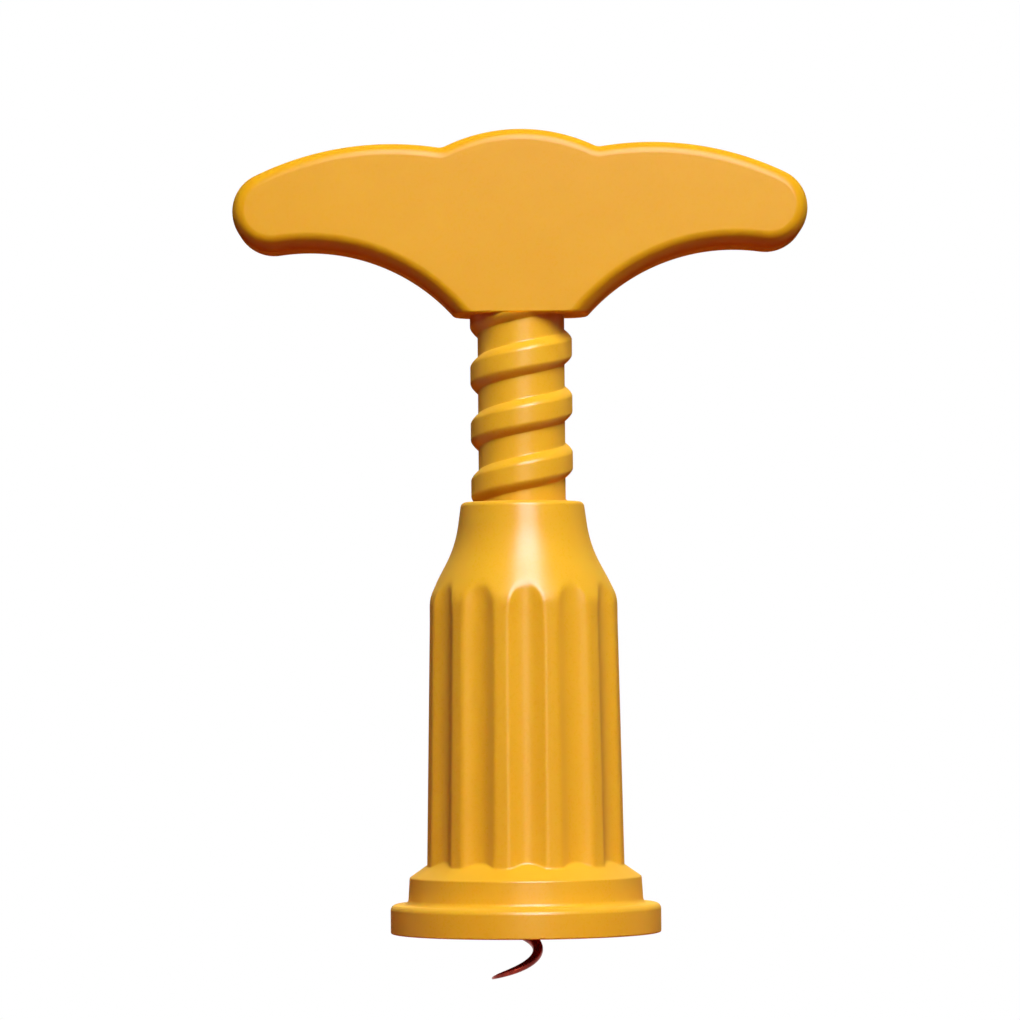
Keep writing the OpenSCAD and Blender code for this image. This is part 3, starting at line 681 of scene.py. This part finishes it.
tree, given = tree_with_inputs("coarse thread", [
    "First Turn", "Turns", "Pitch", "Core Radius", "Crest Radius", "Crest Half", "Root Half", "Belly",
    "Start Angle", "Start Height"])
sheet = add_node(tree, "GeometryNodeMeshGrid", {}, {"Size X": 1.0, "Size Y": 1.0,
                 "Vertices X": TURNS * STEPS_PER_TURN + 1, "Vertices Y": ACROSS + 1})
spot = add_node(tree, "ShaderNodeSeparateXYZ", {},
                {0: add_node(tree, "GeometryNodeInputPosition").outputs[0]})
along = add_node(tree, "ShaderNodeMath", {"operation": "ADD"}, {0: spot.outputs["X"], 1: 0.5})
turn = add_node(tree, "ShaderNodeMath", {"operation": "MULTIPLY_ADD"},
                {0: along.outputs[0], 1: given["Turns"], 2: given["First Turn"]})
angle = add_node(tree, "ShaderNodeMath", {"operation": "MULTIPLY_ADD"},
                 {0: turn.outputs[0], 1: 2 * math.pi, 2: given["Start Angle"]})
climb = add_node(tree, "ShaderNodeMath", {"operation": "ADD"}, {0: turn.outputs[0], 1: spot.outputs["Y"]})
height = add_node(tree, "ShaderNodeMath", {"operation": "MULTIPLY_ADD"},
                  {0: climb.outputs[0], 1: given["Pitch"], 2: given["Start Height"]})
across = add_node(tree, "ShaderNodeMath", {"operation": "MULTIPLY"},
                  {0: spot.outputs["Y"], 1: given["Pitch"]})
off = add_node(tree, "ShaderNodeMath", {"operation": "ABSOLUTE"}, {0: across.outputs[0]})
flank = add_node(tree, "ShaderNodeMapRange", {}, {"Value": off.outputs[0], "From Min": given["Crest Half"],
                 "From Max": given["Root Half"], "To Min": 0.0, "To Max": 1.0})
fall = add_node(tree, "ShaderNodeMath", {"operation": "POWER"},
                {0: flank.outputs["Result"], 1: given["Belly"]})
drop = add_node(tree, "ShaderNodeMath", {"operation": "SUBTRACT"},
                {0: given["Core Radius"], 1: given["Crest Radius"]})
radius = add_node(tree, "ShaderNodeMath", {"operation": "MULTIPLY_ADD"},
                  {0: fall.outputs[0], 1: drop.outputs[0], 2: given["Crest Radius"]})
cosine = add_node(tree, "ShaderNodeMath", {"operation": "COSINE"}, {0: angle.outputs[0]})
sine = add_node(tree, "ShaderNodeMath", {"operation": "SINE"}, {0: angle.outputs[0]})
east = add_node(tree, "ShaderNodeMath", {"operation": "MULTIPLY"},
                {0: cosine.outputs[0], 1: radius.outputs[0]})
north = add_node(tree, "ShaderNodeMath", {"operation": "MULTIPLY"},
                 {0: sine.outputs[0], 1: radius.outputs[0]})
wrapped = add_node(tree, "ShaderNodeCombineXYZ", {},
                   {0: east.outputs[0], 1: north.outputs[0], 2: height.outputs[0]})
wound = add_node(tree, "GeometryNodeSetPosition", {},
                 {"Geometry": sheet.outputs["Mesh"], "Position": wrapped.outputs[0]})
closed = add_node(tree, "GeometryNodeMergeByDistance", {},
                  {"Geometry": wound.outputs[0], "Distance": SEAM_MERGE})
end_tree(tree, closed.outputs[0], yellow_plastic)
print("thread tree:", len(tree.nodes), "nodes")

# %% [markdown]
# ## The stem
# Inside the handle the stem ends in a square tenon, and below in a smooth journal for the guide ring. To
# wrap those from the sheet as well would only bend it out of shape. So the wound surface is cut off flat at
# both ends, the plain block and the turned journal are joined to it, and the holes for the wire and the
# cross pin are carved last.

# %% Stem
LIFT, MOUTH_DEPTH = 34.6, 10.0
STEM_END = MOUTH_DEPTH + LIFT
CLIP_T, CLIP_GROOVE, JOURNAL_R = 0.9, 1.1, 6.0
CLIP_LOW = STEM_END + CLIP_T
RING_LOW, RING_T = CLIP_LOW + CLIP_T + 2 * FIT, 2.6
JOURNAL_TOP = RING_LOW + RING_T + 2 * FIT
TENON_TOP = FOOT_Z + TENON_H
WIRE_R, HOOK_R = 1.4, 3.0
CORE_HOLE, END_EDGE, RUN_OVER, HOLE_SIDES = 0.4, 0.3, 1, 32

stem = put_in_scene("threaded_stem", bpy.data.meshes.new("threaded_stem"))
freeze(set_tree(stem, tree, {
    "First Turn": float(-TURNS_BELOW), "Turns": float(TURNS), "Pitch": PITCH * MM, "Core Radius": CORE_R * MM,
    "Crest Radius": CREST_R * MM, "Crest Half": (CREST_W / 2 - SOFT) * MM, "Root Half": ROOT_W / 2 * MM,
    "Belly": BELLY, "Start Angle": math.radians(THREAD_ANGLE), "Start Height": FOOT_Z * MM}))
bm = bmesh.new()
bm.from_mesh(stem.data)
for level, side in ((FOOT_Z, 1), (JOURNAL_TOP, -1)):
    cut_flat(bm, level, side)
bmesh.ops.recalc_face_normals(bm, faces=bm.faces[:])
bm.to_mesh(stem.data)
bm.free()

groove = JOURNAL_R - CLIP_GROOVE
clip_top, half_tenon = CLIP_LOW + CLIP_T + FIT, TENON_W / 2
journal = turned("journal", [
    (CORE_HOLE, STEM_END), (JOURNAL_R - END_EDGE, STEM_END), (JOURNAL_R, STEM_END + END_EDGE),
    (JOURNAL_R, CLIP_LOW - FIT), (groove, CLIP_LOW - FIT), (groove, clip_top), (JOURNAL_R, clip_top),
    (JOURNAL_R, JOURNAL_TOP + RUN_OVER), (CORE_HOLE, JOURNAL_TOP + RUN_OVER)], yellow_plastic)
tenon = block("tenon", (-half_tenon, -half_tenon, FOOT_Z - RUN_OVER), (half_tenon, half_tenon, TENON_TOP),
              yellow_plastic)
carve(stem, [journal, tenon], "UNION")
wide, over = WIRE_R + FIT, TENON_TOP + RUN_OVER
carve(stem, [
    turned("shank_hole", [(0, STEM_END - RUN_OVER), (wide, STEM_END - RUN_OVER), (wide, over), (0, over)],
           yellow_plastic, HOLE_SIDES),
    block("hook_slot", (-wide, -wide, TENON_TOP - 2 * WIRE_R - FIT), (TENON_W, wide, over), yellow_plastic),
    block("hook_bend", (-wide, -wide, TENON_TOP - WIRE_R - HOOK_R), (HOOK_R, wide, over), yellow_plastic),
    rod("pin_hole", (PIN_X, PIN_Z), PIN_R + FIT, -TENON_W, TENON_W, yellow_plastic)])
finish_surface(stem)
dress(stem, "spindle", "stem")

# %% [markdown]
# ## The bell's flutes
# Twelve flutes are pressed into the bell's body. They could be cut with cylinders, but a mould has no knife
# edges. So a Geometry Nodes tree works out for every point how deep the flute's hollow lies, and takes the
# smooth minimum of that and the plain body. The ridges between the flutes are soft, and sharpen towards the
# arches at the shoulder. At the foot the flutes run out in a scallop on the collar.

# %% Flute tree
FLUTES, FLUTE_DEPTH, FLUTE_R, FLUTE_ANGLE = 12, 1.3, 4.2, 1.5
BELL_H, BASE_R, BASE_H, STEP_R, STEP_H = 79.6, 25.0, 5.4, 21.45, 10.3
RIDGE_LOW_R, RIDGE_HIGH_R, SHOULDER_H = 18.5, 17.6, 61.9
NECK_R, NECK_TAPER, SHOULDER_TAPER, COLLAR_SLOPE = 11.35, 8.0, 28.0, 35.0
SHOULDER_ROUND, NECK_FILLET, RIM_ROUND = 6.0, 22.0, 1.0
RIDGE_SOFT, ARCH_SOFT, COLLAR_SOFT, ARCH_BELOW, ARCH_ABOVE = 2.2, 0.8, 0.5, 5, 1
COLLAR_TOP = STEP_H + (STEP_R - RIDGE_LOW_R) * math.tan(math.radians(COLLAR_SLOPE))
LEAN = (RIDGE_LOW_R - RIDGE_HIGH_R) / (SHOULDER_H - COLLAR_TOP)

tree, given = tree_with_inputs("pressed flutes", [
    "Spacing", "First Angle", "Hollow Radius", "Hollow Axis", "Lean", "Ridge Softness", "Arch Softness",
    "Arch Low", "Arch High", "Collar Radius", "Collar Height", "Collar Run", "Collar Softness"])
where = add_node(tree, "GeometryNodeInputPosition")
spot = add_node(tree, "ShaderNodeSeparateXYZ", {}, {0: where.outputs[0]})
flat = add_node(tree, "ShaderNodeCombineXYZ", {}, {0: spot.outputs["X"], 1: spot.outputs["Y"]})
plain = add_node(tree, "ShaderNodeVectorMath", {"operation": "LENGTH"}, {0: flat.outputs[0]})
bearing = add_node(tree, "ShaderNodeMath", {"operation": "ARCTAN2"},
                   {0: spot.outputs["Y"], 1: spot.outputs["X"]})
past = add_node(tree, "ShaderNodeMath", {"operation": "SUBTRACT"},
                {0: bearing.outputs[0], 1: given["First Angle"]})
half = add_node(tree, "ShaderNodeMath", {"operation": "MULTIPLY"}, {0: given["Spacing"], 1: 0.5})
low_half = add_node(tree, "ShaderNodeMath", {"operation": "MULTIPLY"}, {0: given["Spacing"], 1: -0.5})
aside = add_node(tree, "ShaderNodeMath", {"operation": "WRAP"},
                 {0: past.outputs[0], 1: half.outputs[0], 2: low_half.outputs[0]})
sunk = add_node(tree, "ShaderNodeMath", {"operation": "MULTIPLY"}, {0: spot.outputs["Z"], 1: given["Lean"]})
axis = add_node(tree, "ShaderNodeMath", {"operation": "SUBTRACT"},
                {0: given["Hollow Axis"], 1: sunk.outputs[0]})
cosine = add_node(tree, "ShaderNodeMath", {"operation": "COSINE"}, {0: aside.outputs[0]})
sine = add_node(tree, "ShaderNodeMath", {"operation": "SINE"}, {0: aside.outputs[0]})
ahead = add_node(tree, "ShaderNodeMath", {"operation": "MULTIPLY"},
                 {0: axis.outputs[0], 1: cosine.outputs[0]})
sideways = add_node(tree, "ShaderNodeMath", {"operation": "MULTIPLY"},
                    {0: axis.outputs[0], 1: sine.outputs[0]})
off = add_node(tree, "ShaderNodeMath", {"operation": "ABSOLUTE"}, {0: sideways.outputs[0]})
side2 = add_node(tree, "ShaderNodeMath", {"operation": "POWER"}, {0: off.outputs[0], 1: 2.0})
round2 = add_node(tree, "ShaderNodeMath", {"operation": "POWER"}, {0: given["Hollow Radius"], 1: 2.0})
left2 = add_node(tree, "ShaderNodeMath", {"operation": "SUBTRACT"},
                 {0: round2.outputs[0], 1: side2.outputs[0]})
real2 = add_node(tree, "ShaderNodeMath", {"operation": "MAXIMUM"}, {0: left2.outputs[0], 1: 0.0})
chord = add_node(tree, "ShaderNodeMath", {"operation": "SQRT"}, {0: real2.outputs[0]})
hollow_r = add_node(tree, "ShaderNodeMath", {"operation": "SUBTRACT"},
                    {0: ahead.outputs[0], 1: chord.outputs[0]})
softness = add_node(tree, "ShaderNodeMapRange", {"interpolation_type": "SMOOTHSTEP"},
                    {"Value": spot.outputs["Z"],
                     "From Min": given["Arch Low"], "From Max": given["Arch High"],
                     "To Min": given["Ridge Softness"], "To Max": given["Arch Softness"]})
pressed = add_node(tree, "ShaderNodeMath", {"operation": "SMOOTH_MIN"},
                   {0: plain.outputs["Value"], 1: hollow_r.outputs[0], 2: softness.outputs["Result"]})
above = add_node(tree, "ShaderNodeMath", {"operation": "SUBTRACT"},
                 {0: spot.outputs["Z"], 1: given["Collar Height"]})
inward = add_node(tree, "ShaderNodeMath", {"operation": "MULTIPLY"},
                  {0: above.outputs[0], 1: given["Collar Run"]})
collar = add_node(tree, "ShaderNodeMath", {"operation": "SUBTRACT"},
                  {0: given["Collar Radius"], 1: inward.outputs[0]})
stopped = add_node(tree, "ShaderNodeMath", {"operation": "SMOOTH_MAX"},
                   {0: pressed.outputs[0], 1: collar.outputs[0], 2: given["Collar Softness"]})
share = add_node(tree, "ShaderNodeMath", {"operation": "DIVIDE"},
                 {0: stopped.outputs[0], 1: plain.outputs["Value"]})
slimmer = add_node(tree, "ShaderNodeVectorMath", {"operation": "SCALE"},
                   {0: flat.outputs[0], "Scale": share.outputs[0]})
level = add_node(tree, "ShaderNodeCombineXYZ", {}, {2: spot.outputs["Z"]})
target = add_node(tree, "ShaderNodeVectorMath", {"operation": "ADD"},
                  {0: slimmer.outputs[0], 1: level.outputs[0]})
outside = add_node(tree, "GeometryNodeInputNamedAttribute", {"data_type": "BOOLEAN"}, {"Name": "outside"})
moved = add_node(tree, "GeometryNodeSetPosition", {}, {"Geometry": given["Geometry"],
                 "Selection": outside.outputs["Attribute"], "Position": target.outputs[0]})
end_tree(tree, moved.outputs[0], yellow_plastic)
print("flute tree:", len(tree.nodes), "nodes")

# %% [markdown]
# ## The bell's section
# The bell is a turned shape: outside, a flange, a step, a sloping collar, the straight body, the shoulder
# and the neck, and inside, the seat of the bush, the bore for the cork and the wide mouth below it. A bevel
# after the spin would treat all its corners alike, so the section is drawn with each corner's own rounding.
# Its points lie close together only where the flutes begin and end.

# %% Bell section
def rounded(before, corner, after, r, steps):
    u = (Vector(before) - Vector(corner)).normalized()
    v = (Vector(after) - Vector(corner)).normalized()
    bend = u.angle(v) / 2
    centre = Vector(corner) + (u + v).normalized() * r / math.sin(bend)
    a0 = heading(centre, Vector(corner) + u * r / math.tan(bend))
    a1 = heading(centre, Vector(corner) + v * r / math.tan(bend))
    sweep = (a1 - a0 + 180) % 360 - 180
    return arc(centre, r, a0, a0 + sweep, steps)


def along_line(a, b, step):
    count = max(1, round((Vector(b) - Vector(a)).length / step))
    return [tuple(Vector(a).lerp(Vector(b), i / count)) for i in range(1, count)]


MOUTH_R, BORE_R, LEDGE_H, BUSH_R, BUSH_TOP, NECK_BORE = 15.8, 14.4, 62.0, 11.6, 70.4, 9.8
FLANGE_IN, STEP_IN, WALL_IN, REST = 22.8, 19.25, 17.8, 0.6
RIM_EDGE, FLANGE_ROUND, STEP_FILLET, STEP_ROUND, STEP_DRAFT = 0.3, 1.1, 1.0, 0.5, 0.3
LEAD_H, LEAD_W = 1.8, 1.2
FOOT_ZONE, ARCH_ZONE = 3.6, 9
COLLAR_PITCH, FOOT_PITCH, BODY_PITCH, ARCH_PITCH = 0.3, 0.2, 2.0, 0.35

t_shoulder, t_neck = math.tan(math.radians(SHOULDER_TAPER)), math.tan(math.radians(NECK_TAPER))
corner_z = (RIDGE_HIGH_R + SHOULDER_H * t_shoulder - NECK_R - BELL_H * t_neck) / (t_shoulder - t_neck)
neck_corner = (NECK_R + (BELL_H - corner_z) * t_neck, corner_z)
shoulder_corner, neck_top = (RIDGE_HIGH_R, SHOULDER_H), (NECK_R, BELL_H)
collar_point = (RIDGE_LOW_R, COLLAR_TOP)
step_low, step_high = (STEP_R + STEP_DRAFT, BASE_H), (STEP_R, STEP_H)

base_line = [(FLANGE_IN, 0.0)] + rounded((FLANGE_IN, 0), (BASE_R, 0), (BASE_R, BASE_H), RIM_EDGE, 3)
base_line += rounded((BASE_R, 0), (BASE_R, BASE_H), step_low, FLANGE_ROUND, 8)
base_line += rounded((BASE_R, BASE_H), step_low, step_high, STEP_FILLET, 8)
base_line += rounded(step_low, step_high, collar_point, STEP_ROUND, 6)
body_line = along_line(step_high, collar_point, COLLAR_PITCH)[1:] + [collar_point]
soft_shoulder = rounded(collar_point, shoulder_corner, neck_corner, SHOULDER_ROUND, 16)
soft_neck = rounded(shoulder_corner, neck_corner, neck_top, NECK_FILLET, 20)
low_zone = (RIDGE_LOW_R - FOOT_ZONE * LEAN, COLLAR_TOP + FOOT_ZONE)
high_zone = (RIDGE_HIGH_R + ARCH_ZONE * LEAN, SHOULDER_H - ARCH_ZONE)
body_line += along_line(collar_point, low_zone, FOOT_PITCH) + [low_zone]
body_line += along_line(low_zone, high_zone, BODY_PITCH) + [high_zone]
body_line += along_line(high_zone, soft_shoulder[0], ARCH_PITCH) + soft_shoulder
body_line += along_line(soft_shoulder[-1], soft_neck[0], ARCH_PITCH) + soft_neck
rim_line = rounded(neck_corner, neck_top, (NECK_BORE, BELL_H), RIM_ROUND, 8)
rim_line += rounded(neck_top, (NECK_BORE, BELL_H), (NECK_BORE, BUSH_TOP), RIM_EDGE, 3)
inner_line = [(NECK_BORE, BUSH_TOP), (BUSH_R, BUSH_TOP), (BUSH_R, LEDGE_H), (BORE_R, LEDGE_H),
              (BORE_R, MOUTH_DEPTH), (MOUTH_R, MOUTH_DEPTH), (MOUTH_R, LEAD_H), (MOUTH_R + LEAD_W, REST)]
under_line = [(WALL_IN, REST), (WALL_IN, STEP_H - WALL), (STEP_IN, STEP_H - WALL), (STEP_IN, BASE_H - WALL),
              (FLANGE_IN, BASE_H - WALL)]
section = base_line + body_line + rim_line + inner_line + under_line
outside_from, outside_to = len(base_line), len(base_line) + len(body_line)
print("bell section points:", len(section))

# %% [markdown]
# ## Spinning the bell
# A turned part needs only its section and a number of steps, enough here that each flute has 25. The points
# of the outer body carry a flag, so that the flute tree moves them alone and the bore and the base stay
# round.

# %% Bell
BELL_STEPS = 300
bell = turned("fluted_bell", section, yellow_plastic, BELL_STEPS)
flags = [outside_from <= i % len(section) < outside_to for i in range(len(bell.data.vertices))]
bell.data.attributes.new("outside", "BOOLEAN", "POINT").data.foreach_set("value", flags)
HOLLOW_AXIS = RIDGE_LOW_R + COLLAR_TOP * LEAN - FLUTE_DEPTH + FLUTE_R
freeze(set_tree(bell, tree, {
    "Spacing": 2 * math.pi / FLUTES, "First Angle": math.radians(FLUTE_ANGLE), "Hollow Radius": FLUTE_R * MM,
    "Hollow Axis": HOLLOW_AXIS * MM, "Lean": LEAN, "Ridge Softness": RIDGE_SOFT * MM,
    "Arch Softness": ARCH_SOFT * MM, "Arch Low": (SHOULDER_H - ARCH_BELOW) * MM,
    "Arch High": (SHOULDER_H + ARCH_ABOVE) * MM, "Collar Radius": STEP_R * MM, "Collar Height": STEP_H * MM,
    "Collar Run": 1 / math.tan(math.radians(COLLAR_SLOPE)), "Collar Softness": COLLAR_SOFT * MM}))
print("bell vertices:", len(bell.data.vertices))

# %% [markdown]
# ## Ribs in the bell
# Under the flange the bell is hollow, and thin webs tie its two walls together. Two keys run down the bore
# and keep the guide ring from turning. Webs repeat around the axis, so a small tree places one block on
# each point of a circle, and the result is joined to the bell.

# %% Webs and keys
WEB_T, WEB_LAP, KEY_W, KEY_DEPTH, LAP = 1.6, 0.6, 2.0, 1.2, 0.4
tree, given = tree_with_inputs("radial webs", [
    "Count", "First Angle", "Middle Radius", "Length", "Thickness", "Height", "Level"])
spots = add_node(tree, "GeometryNodeMeshCircle", {},
                 {"Vertices": given["Count"], "Radius": given["Middle Radius"]})
size = add_node(tree, "ShaderNodeCombineXYZ", {},
                {0: given["Length"], 1: given["Thickness"], 2: given["Height"]})
web = add_node(tree, "GeometryNodeMeshCube", {}, {"Size": size.outputs[0]})
number = add_node(tree, "GeometryNodeInputIndex")
part = add_node(tree, "ShaderNodeMath", {"operation": "DIVIDE"}, {0: number.outputs[0], 1: given["Count"]})
swing = add_node(tree, "ShaderNodeMath", {"operation": "MULTIPLY"}, {0: part.outputs[0], 1: 2 * math.pi})
facing = add_node(tree, "ShaderNodeCombineXYZ", {}, {2: swing.outputs[0]})
placed = add_node(tree, "GeometryNodeInstanceOnPoints", {}, {"Points": spots.outputs[0],
                  "Instance": web.outputs["Mesh"], "Rotation": facing.outputs[0]})
lift = add_node(tree, "ShaderNodeCombineXYZ", {}, {2: given["Level"]})
spin = add_node(tree, "ShaderNodeCombineXYZ", {}, {2: given["First Angle"]})
raised = add_node(tree, "GeometryNodeTransform", {}, {"Geometry": placed.outputs[0],
                  "Translation": lift.outputs[0], "Rotation": spin.outputs[0]})
end_tree(tree, raised.outputs[0], yellow_plastic)

webs = put_in_scene("webs", bpy.data.meshes.new("webs"))
web_top = BASE_H - WALL + LAP
freeze(set_tree(webs, tree, {
    "Count": float(FLUTES), "First Angle": math.radians(FLUTE_ANGLE),
    "Middle Radius": (WALL_IN + FLANGE_IN) / 2 * MM,
    "Length": (FLANGE_IN - WALL_IN + WEB_LAP) * MM, "Thickness": WEB_T * MM, "Height": (web_top - REST) * MM,
    "Level": (web_top + REST) / 2 * MM}))
keys = [block("key", (-KEY_W / 2, y_low, MOUTH_DEPTH + KEY_W), (KEY_W / 2, y_high, LEDGE_H), yellow_plastic)
        for y_low, y_high in ((BORE_R - KEY_DEPTH, BORE_R + LAP), (-BORE_R - LAP, KEY_DEPTH - BORE_R))]
carve(bell, keys + [webs], "UNION")
finish_surface(bell)
dress(bell, "bell", "barrel")

# %% [markdown]
# ## The worm
# The worm is a steel wire wound into an open helix and ground to a point. Its last turns wander a little
# off the axis, as in the photograph. The path comes from a formula, point by point, with the wire's radius
# stored on each point, and a tree sweeps a circle along it. The wire goes on straight up through the stem
# and hooks over at the top, where the handle hides it.

# %% Worm
POINT_Z, WORM_R, POINT_ANGLE, WORM_LEAN, LEAD_IN = -8.5, 4.1, 180.0, 2.2, 7.0
POINT_SAG, POINT_TAPER = 0.8, 0.55
COIL_TOP = STEM_END - LEAD_IN
WIRE_STEPS, WIRE_SIDES, TAPER_TURN, THINNEST = 420, 20, 1.0, 0.04
SAG_END, SAG_FADE = 1.5, 0.75
SHANK_STEPS, HOOK_STEPS, WORM_CORNER = 10, 12, 60.0

tree, given = tree_with_inputs("wire along a path", ["Wire Radius"])
tree.interface.new_socket("Sides", in_out="INPUT", socket_type="NodeSocketInt")
hoop = add_node(tree, "GeometryNodeCurvePrimitiveCircle", {},
                {"Resolution": given["Sides"], "Radius": given["Wire Radius"]})
slim = add_node(tree, "GeometryNodeInputRadius")
swept = add_node(tree, "GeometryNodeCurveToMesh", {}, {"Curve": given["Geometry"],
                 "Profile Curve": hoop.outputs["Curve"], "Scale": slim.outputs[0], "Fill Caps": True})
end_tree(tree, swept.outputs[0], dark_wire)


def ease(t):
    t = min(1.0, max(0.0, t))
    return t * t * (3 - 2 * t)


route = []
turns = (STEM_END - POINT_Z) / PITCH
for i in range(WIRE_STEPS + 1):
    t = turns * i / WIRE_STEPS
    z = POINT_Z + PITCH * t - POINT_SAG * math.sin(2 * math.pi * t) * ease((SAG_END - t) / SAG_FADE)
    r = WORM_R * (1 - ease((z - COIL_TOP) / LEAD_IN))
    a = math.radians(POINT_ANGLE + 360 * t)
    lean = -WORM_LEAN * max(0.0, COIL_TOP - z) / (COIL_TOP - POINT_Z)
    width = max(THINNEST, min(1.0, t / TAPER_TURN) ** POINT_TAPER)
    route.append(((lean + r * math.cos(a), r * math.sin(a), z), width))
hook_low = TENON_TOP - WIRE_R - HOOK_R
route += [((0.0, 0.0, STEM_END + (hook_low - STEM_END) * k / SHANK_STEPS), 1.0)
          for k in range(1, SHANK_STEPS)]
route += [((HOOK_R * (1 - math.cos(b)), 0.0, hook_low + HOOK_R * math.sin(b)), 1.0)
          for b in (math.radians(90 * k / HOOK_STEPS) for k in range(HOOK_STEPS + 1))]
route.append(((TENON_W / 2 - FIT, 0.0, hook_low + HOOK_R), 1.0))

path = bpy.data.curves.new("worm_path", "CURVE")
path.dimensions = "3D"
line = path.splines.new("POLY")
line.points.add(len(route) - 1)
for point, (spot_mm, width) in zip(line.points, route):
    point.co = [c * MM for c in spot_mm] + [1.0]
    point.radius = width
path_object = put_in_scene("worm_path", path)
set_tree(path_object, tree, {"Wire Radius": WIRE_R * MM, "Sides": WIRE_SIDES})
graph = bpy.context.evaluated_depsgraph_get()
worm_mesh = bpy.data.meshes.new_from_object(path_object.evaluated_get(graph))
worm = put_in_scene("steel_worm", worm_mesh)
bpy.data.objects.remove(path_object)
finish_surface(worm, WORM_CORNER)
dress(worm, "spindle", "worm")

# %% [markdown]
# ## Guide ring and clip
# Under the stem's thread a white ring rides on the journal and slides in the bell's bore. Two notches let
# the keys through, so it goes up and down without turning. A spring clip under it snaps into a groove. Both
# are turned sections with their edges broken, and the notches are carved.

# %% Ring and clip
SLIDE, RUN, RING_EDGE, RING_STEPS = 0.35, 0.08, 0.3, 144
CLIP_OPENING, CLIP_R, CLIP_EDGE, CLIP_STEPS = 70.0, 7.8, 0.12, 96


def broken_edges(r_in, r_out, low, high, edge):
    return [(r_in + edge, low), (r_out - edge, low), (r_out, low + edge), (r_out, high - edge),
            (r_out - edge, high), (r_in + edge, high), (r_in, high - edge), (r_in, low + edge)]


ring_top = RING_LOW + RING_T
ring_section = broken_edges(JOURNAL_R + RUN, BORE_R - SLIDE, RING_LOW, ring_top, RING_EDGE)
ring = turned("guide_ring_white", ring_section, acetal, RING_STEPS)
notch_in, notch_out, notch_half = BORE_R - KEY_DEPTH - SLIDE, BORE_R * 1.2, KEY_W / 2 + SLIDE
carve(ring, [block("notch", (-notch_half, y_low, RING_LOW - RUN_OVER),
                   (notch_half, y_high, ring_top + RUN_OVER), acetal)
             for y_low, y_high in ((-notch_out, -notch_in), (notch_in, notch_out))])
finish_surface(ring)
dress(ring, "guide", "guide_ring")

clip_section = broken_edges(groove + FIT, CLIP_R, CLIP_LOW, CLIP_LOW + CLIP_T, CLIP_EDGE)
clip = turned("spring_clip", clip_section, zinc, CLIP_STEPS, 360 - CLIP_OPENING)
clip.data.transform(Matrix.Rotation(math.radians(CLIP_OPENING / 2), 4, "Z"))
finish_surface(clip)
dress(clip, "spindle", "ring_clip")

# %% [markdown]
# ## Handle screws
# Four alike screws with a cross recess hold the rear shell to the front one, sunk in counterbores. Four
# could be modelled one by one. Here one is turned and carved, and a tree puts a copy on each of four
# points, because a change to the one then changes all.

# %% Screws
RECESS_W, RECESS_L = 0.8, 3.4
HEAD_ROUND, POINT_H, POINT_IN, SCREW_STEPS = 0.9, 0.6, 0.5, 48
screw_section = [(0.0, -HEAD_H)] + rounded((0, -HEAD_H), (HEAD_R, -HEAD_H), (HEAD_R, 0), HEAD_ROUND, 6)
screw_section += [(HEAD_R, 0.0), (SCREW_R, 0.0), (SCREW_R, SCREW_L - POINT_H), (SCREW_R - POINT_IN, SCREW_L),
                  (0.0, SCREW_L)]
one = turned("one_screw", screw_section, zinc, SCREW_STEPS)
carve(one, [block("arm", (-a / 2, -b / 2, -HEAD_H - RUN_OVER), (a / 2, b / 2, -HEAD_H / 2), zinc)
            for a, b in ((RECESS_L, RECESS_W), (RECESS_W, RECESS_L))])
finish_surface(one)

tree, given = tree_with_inputs("screws on points", ["Tilt"])
tree.interface.new_socket("Screw", in_out="INPUT", socket_type="NodeSocketObject")
model = add_node(tree, "GeometryNodeObjectInfo", {}, {"Object": given["Screw"]})
tip_over = add_node(tree, "ShaderNodeCombineXYZ", {}, {0: given["Tilt"]})
driven = add_node(tree, "GeometryNodeInstanceOnPoints", {}, {"Points": given["Geometry"],
                  "Instance": model.outputs["Geometry"], "Rotation": tip_over.outputs[0]})
end_tree(tree, driven.outputs[0], zinc)

seats = bpy.data.meshes.new("handle_screw_set")
seats.from_pydata([(x * MM, SCREW_SEAT * MM, SCREW_Z * MM) for x in SCREW_X], [], [])
screws = put_in_scene("handle_screw_set", seats)
freeze(set_tree(screws, tree, {"Tilt": math.pi / 2, "Screw": one}))
bpy.data.objects.remove(one)
dress(screws, "spindle", "handle_screws")

# %% [markdown]
# ## Pieces that keep their CAD shape
# The bush that the thread runs in sits in the neck, and the cross pin goes through the tenon inside the
# handle. Hardly anything of them is seen, and their CAD shapes are right. To model them again would gain
# nothing, so they only take their finish.

# %% Finishes of the pieces that stay
for node, material in (("thread_bush", acetal), ("stem_pin", zinc)):
    kept = frame["nodes"][node]
    kept.data.materials.clear()
    kept.data.materials.append(material)
    print(node, "keeps its CAD shape in", material.name)
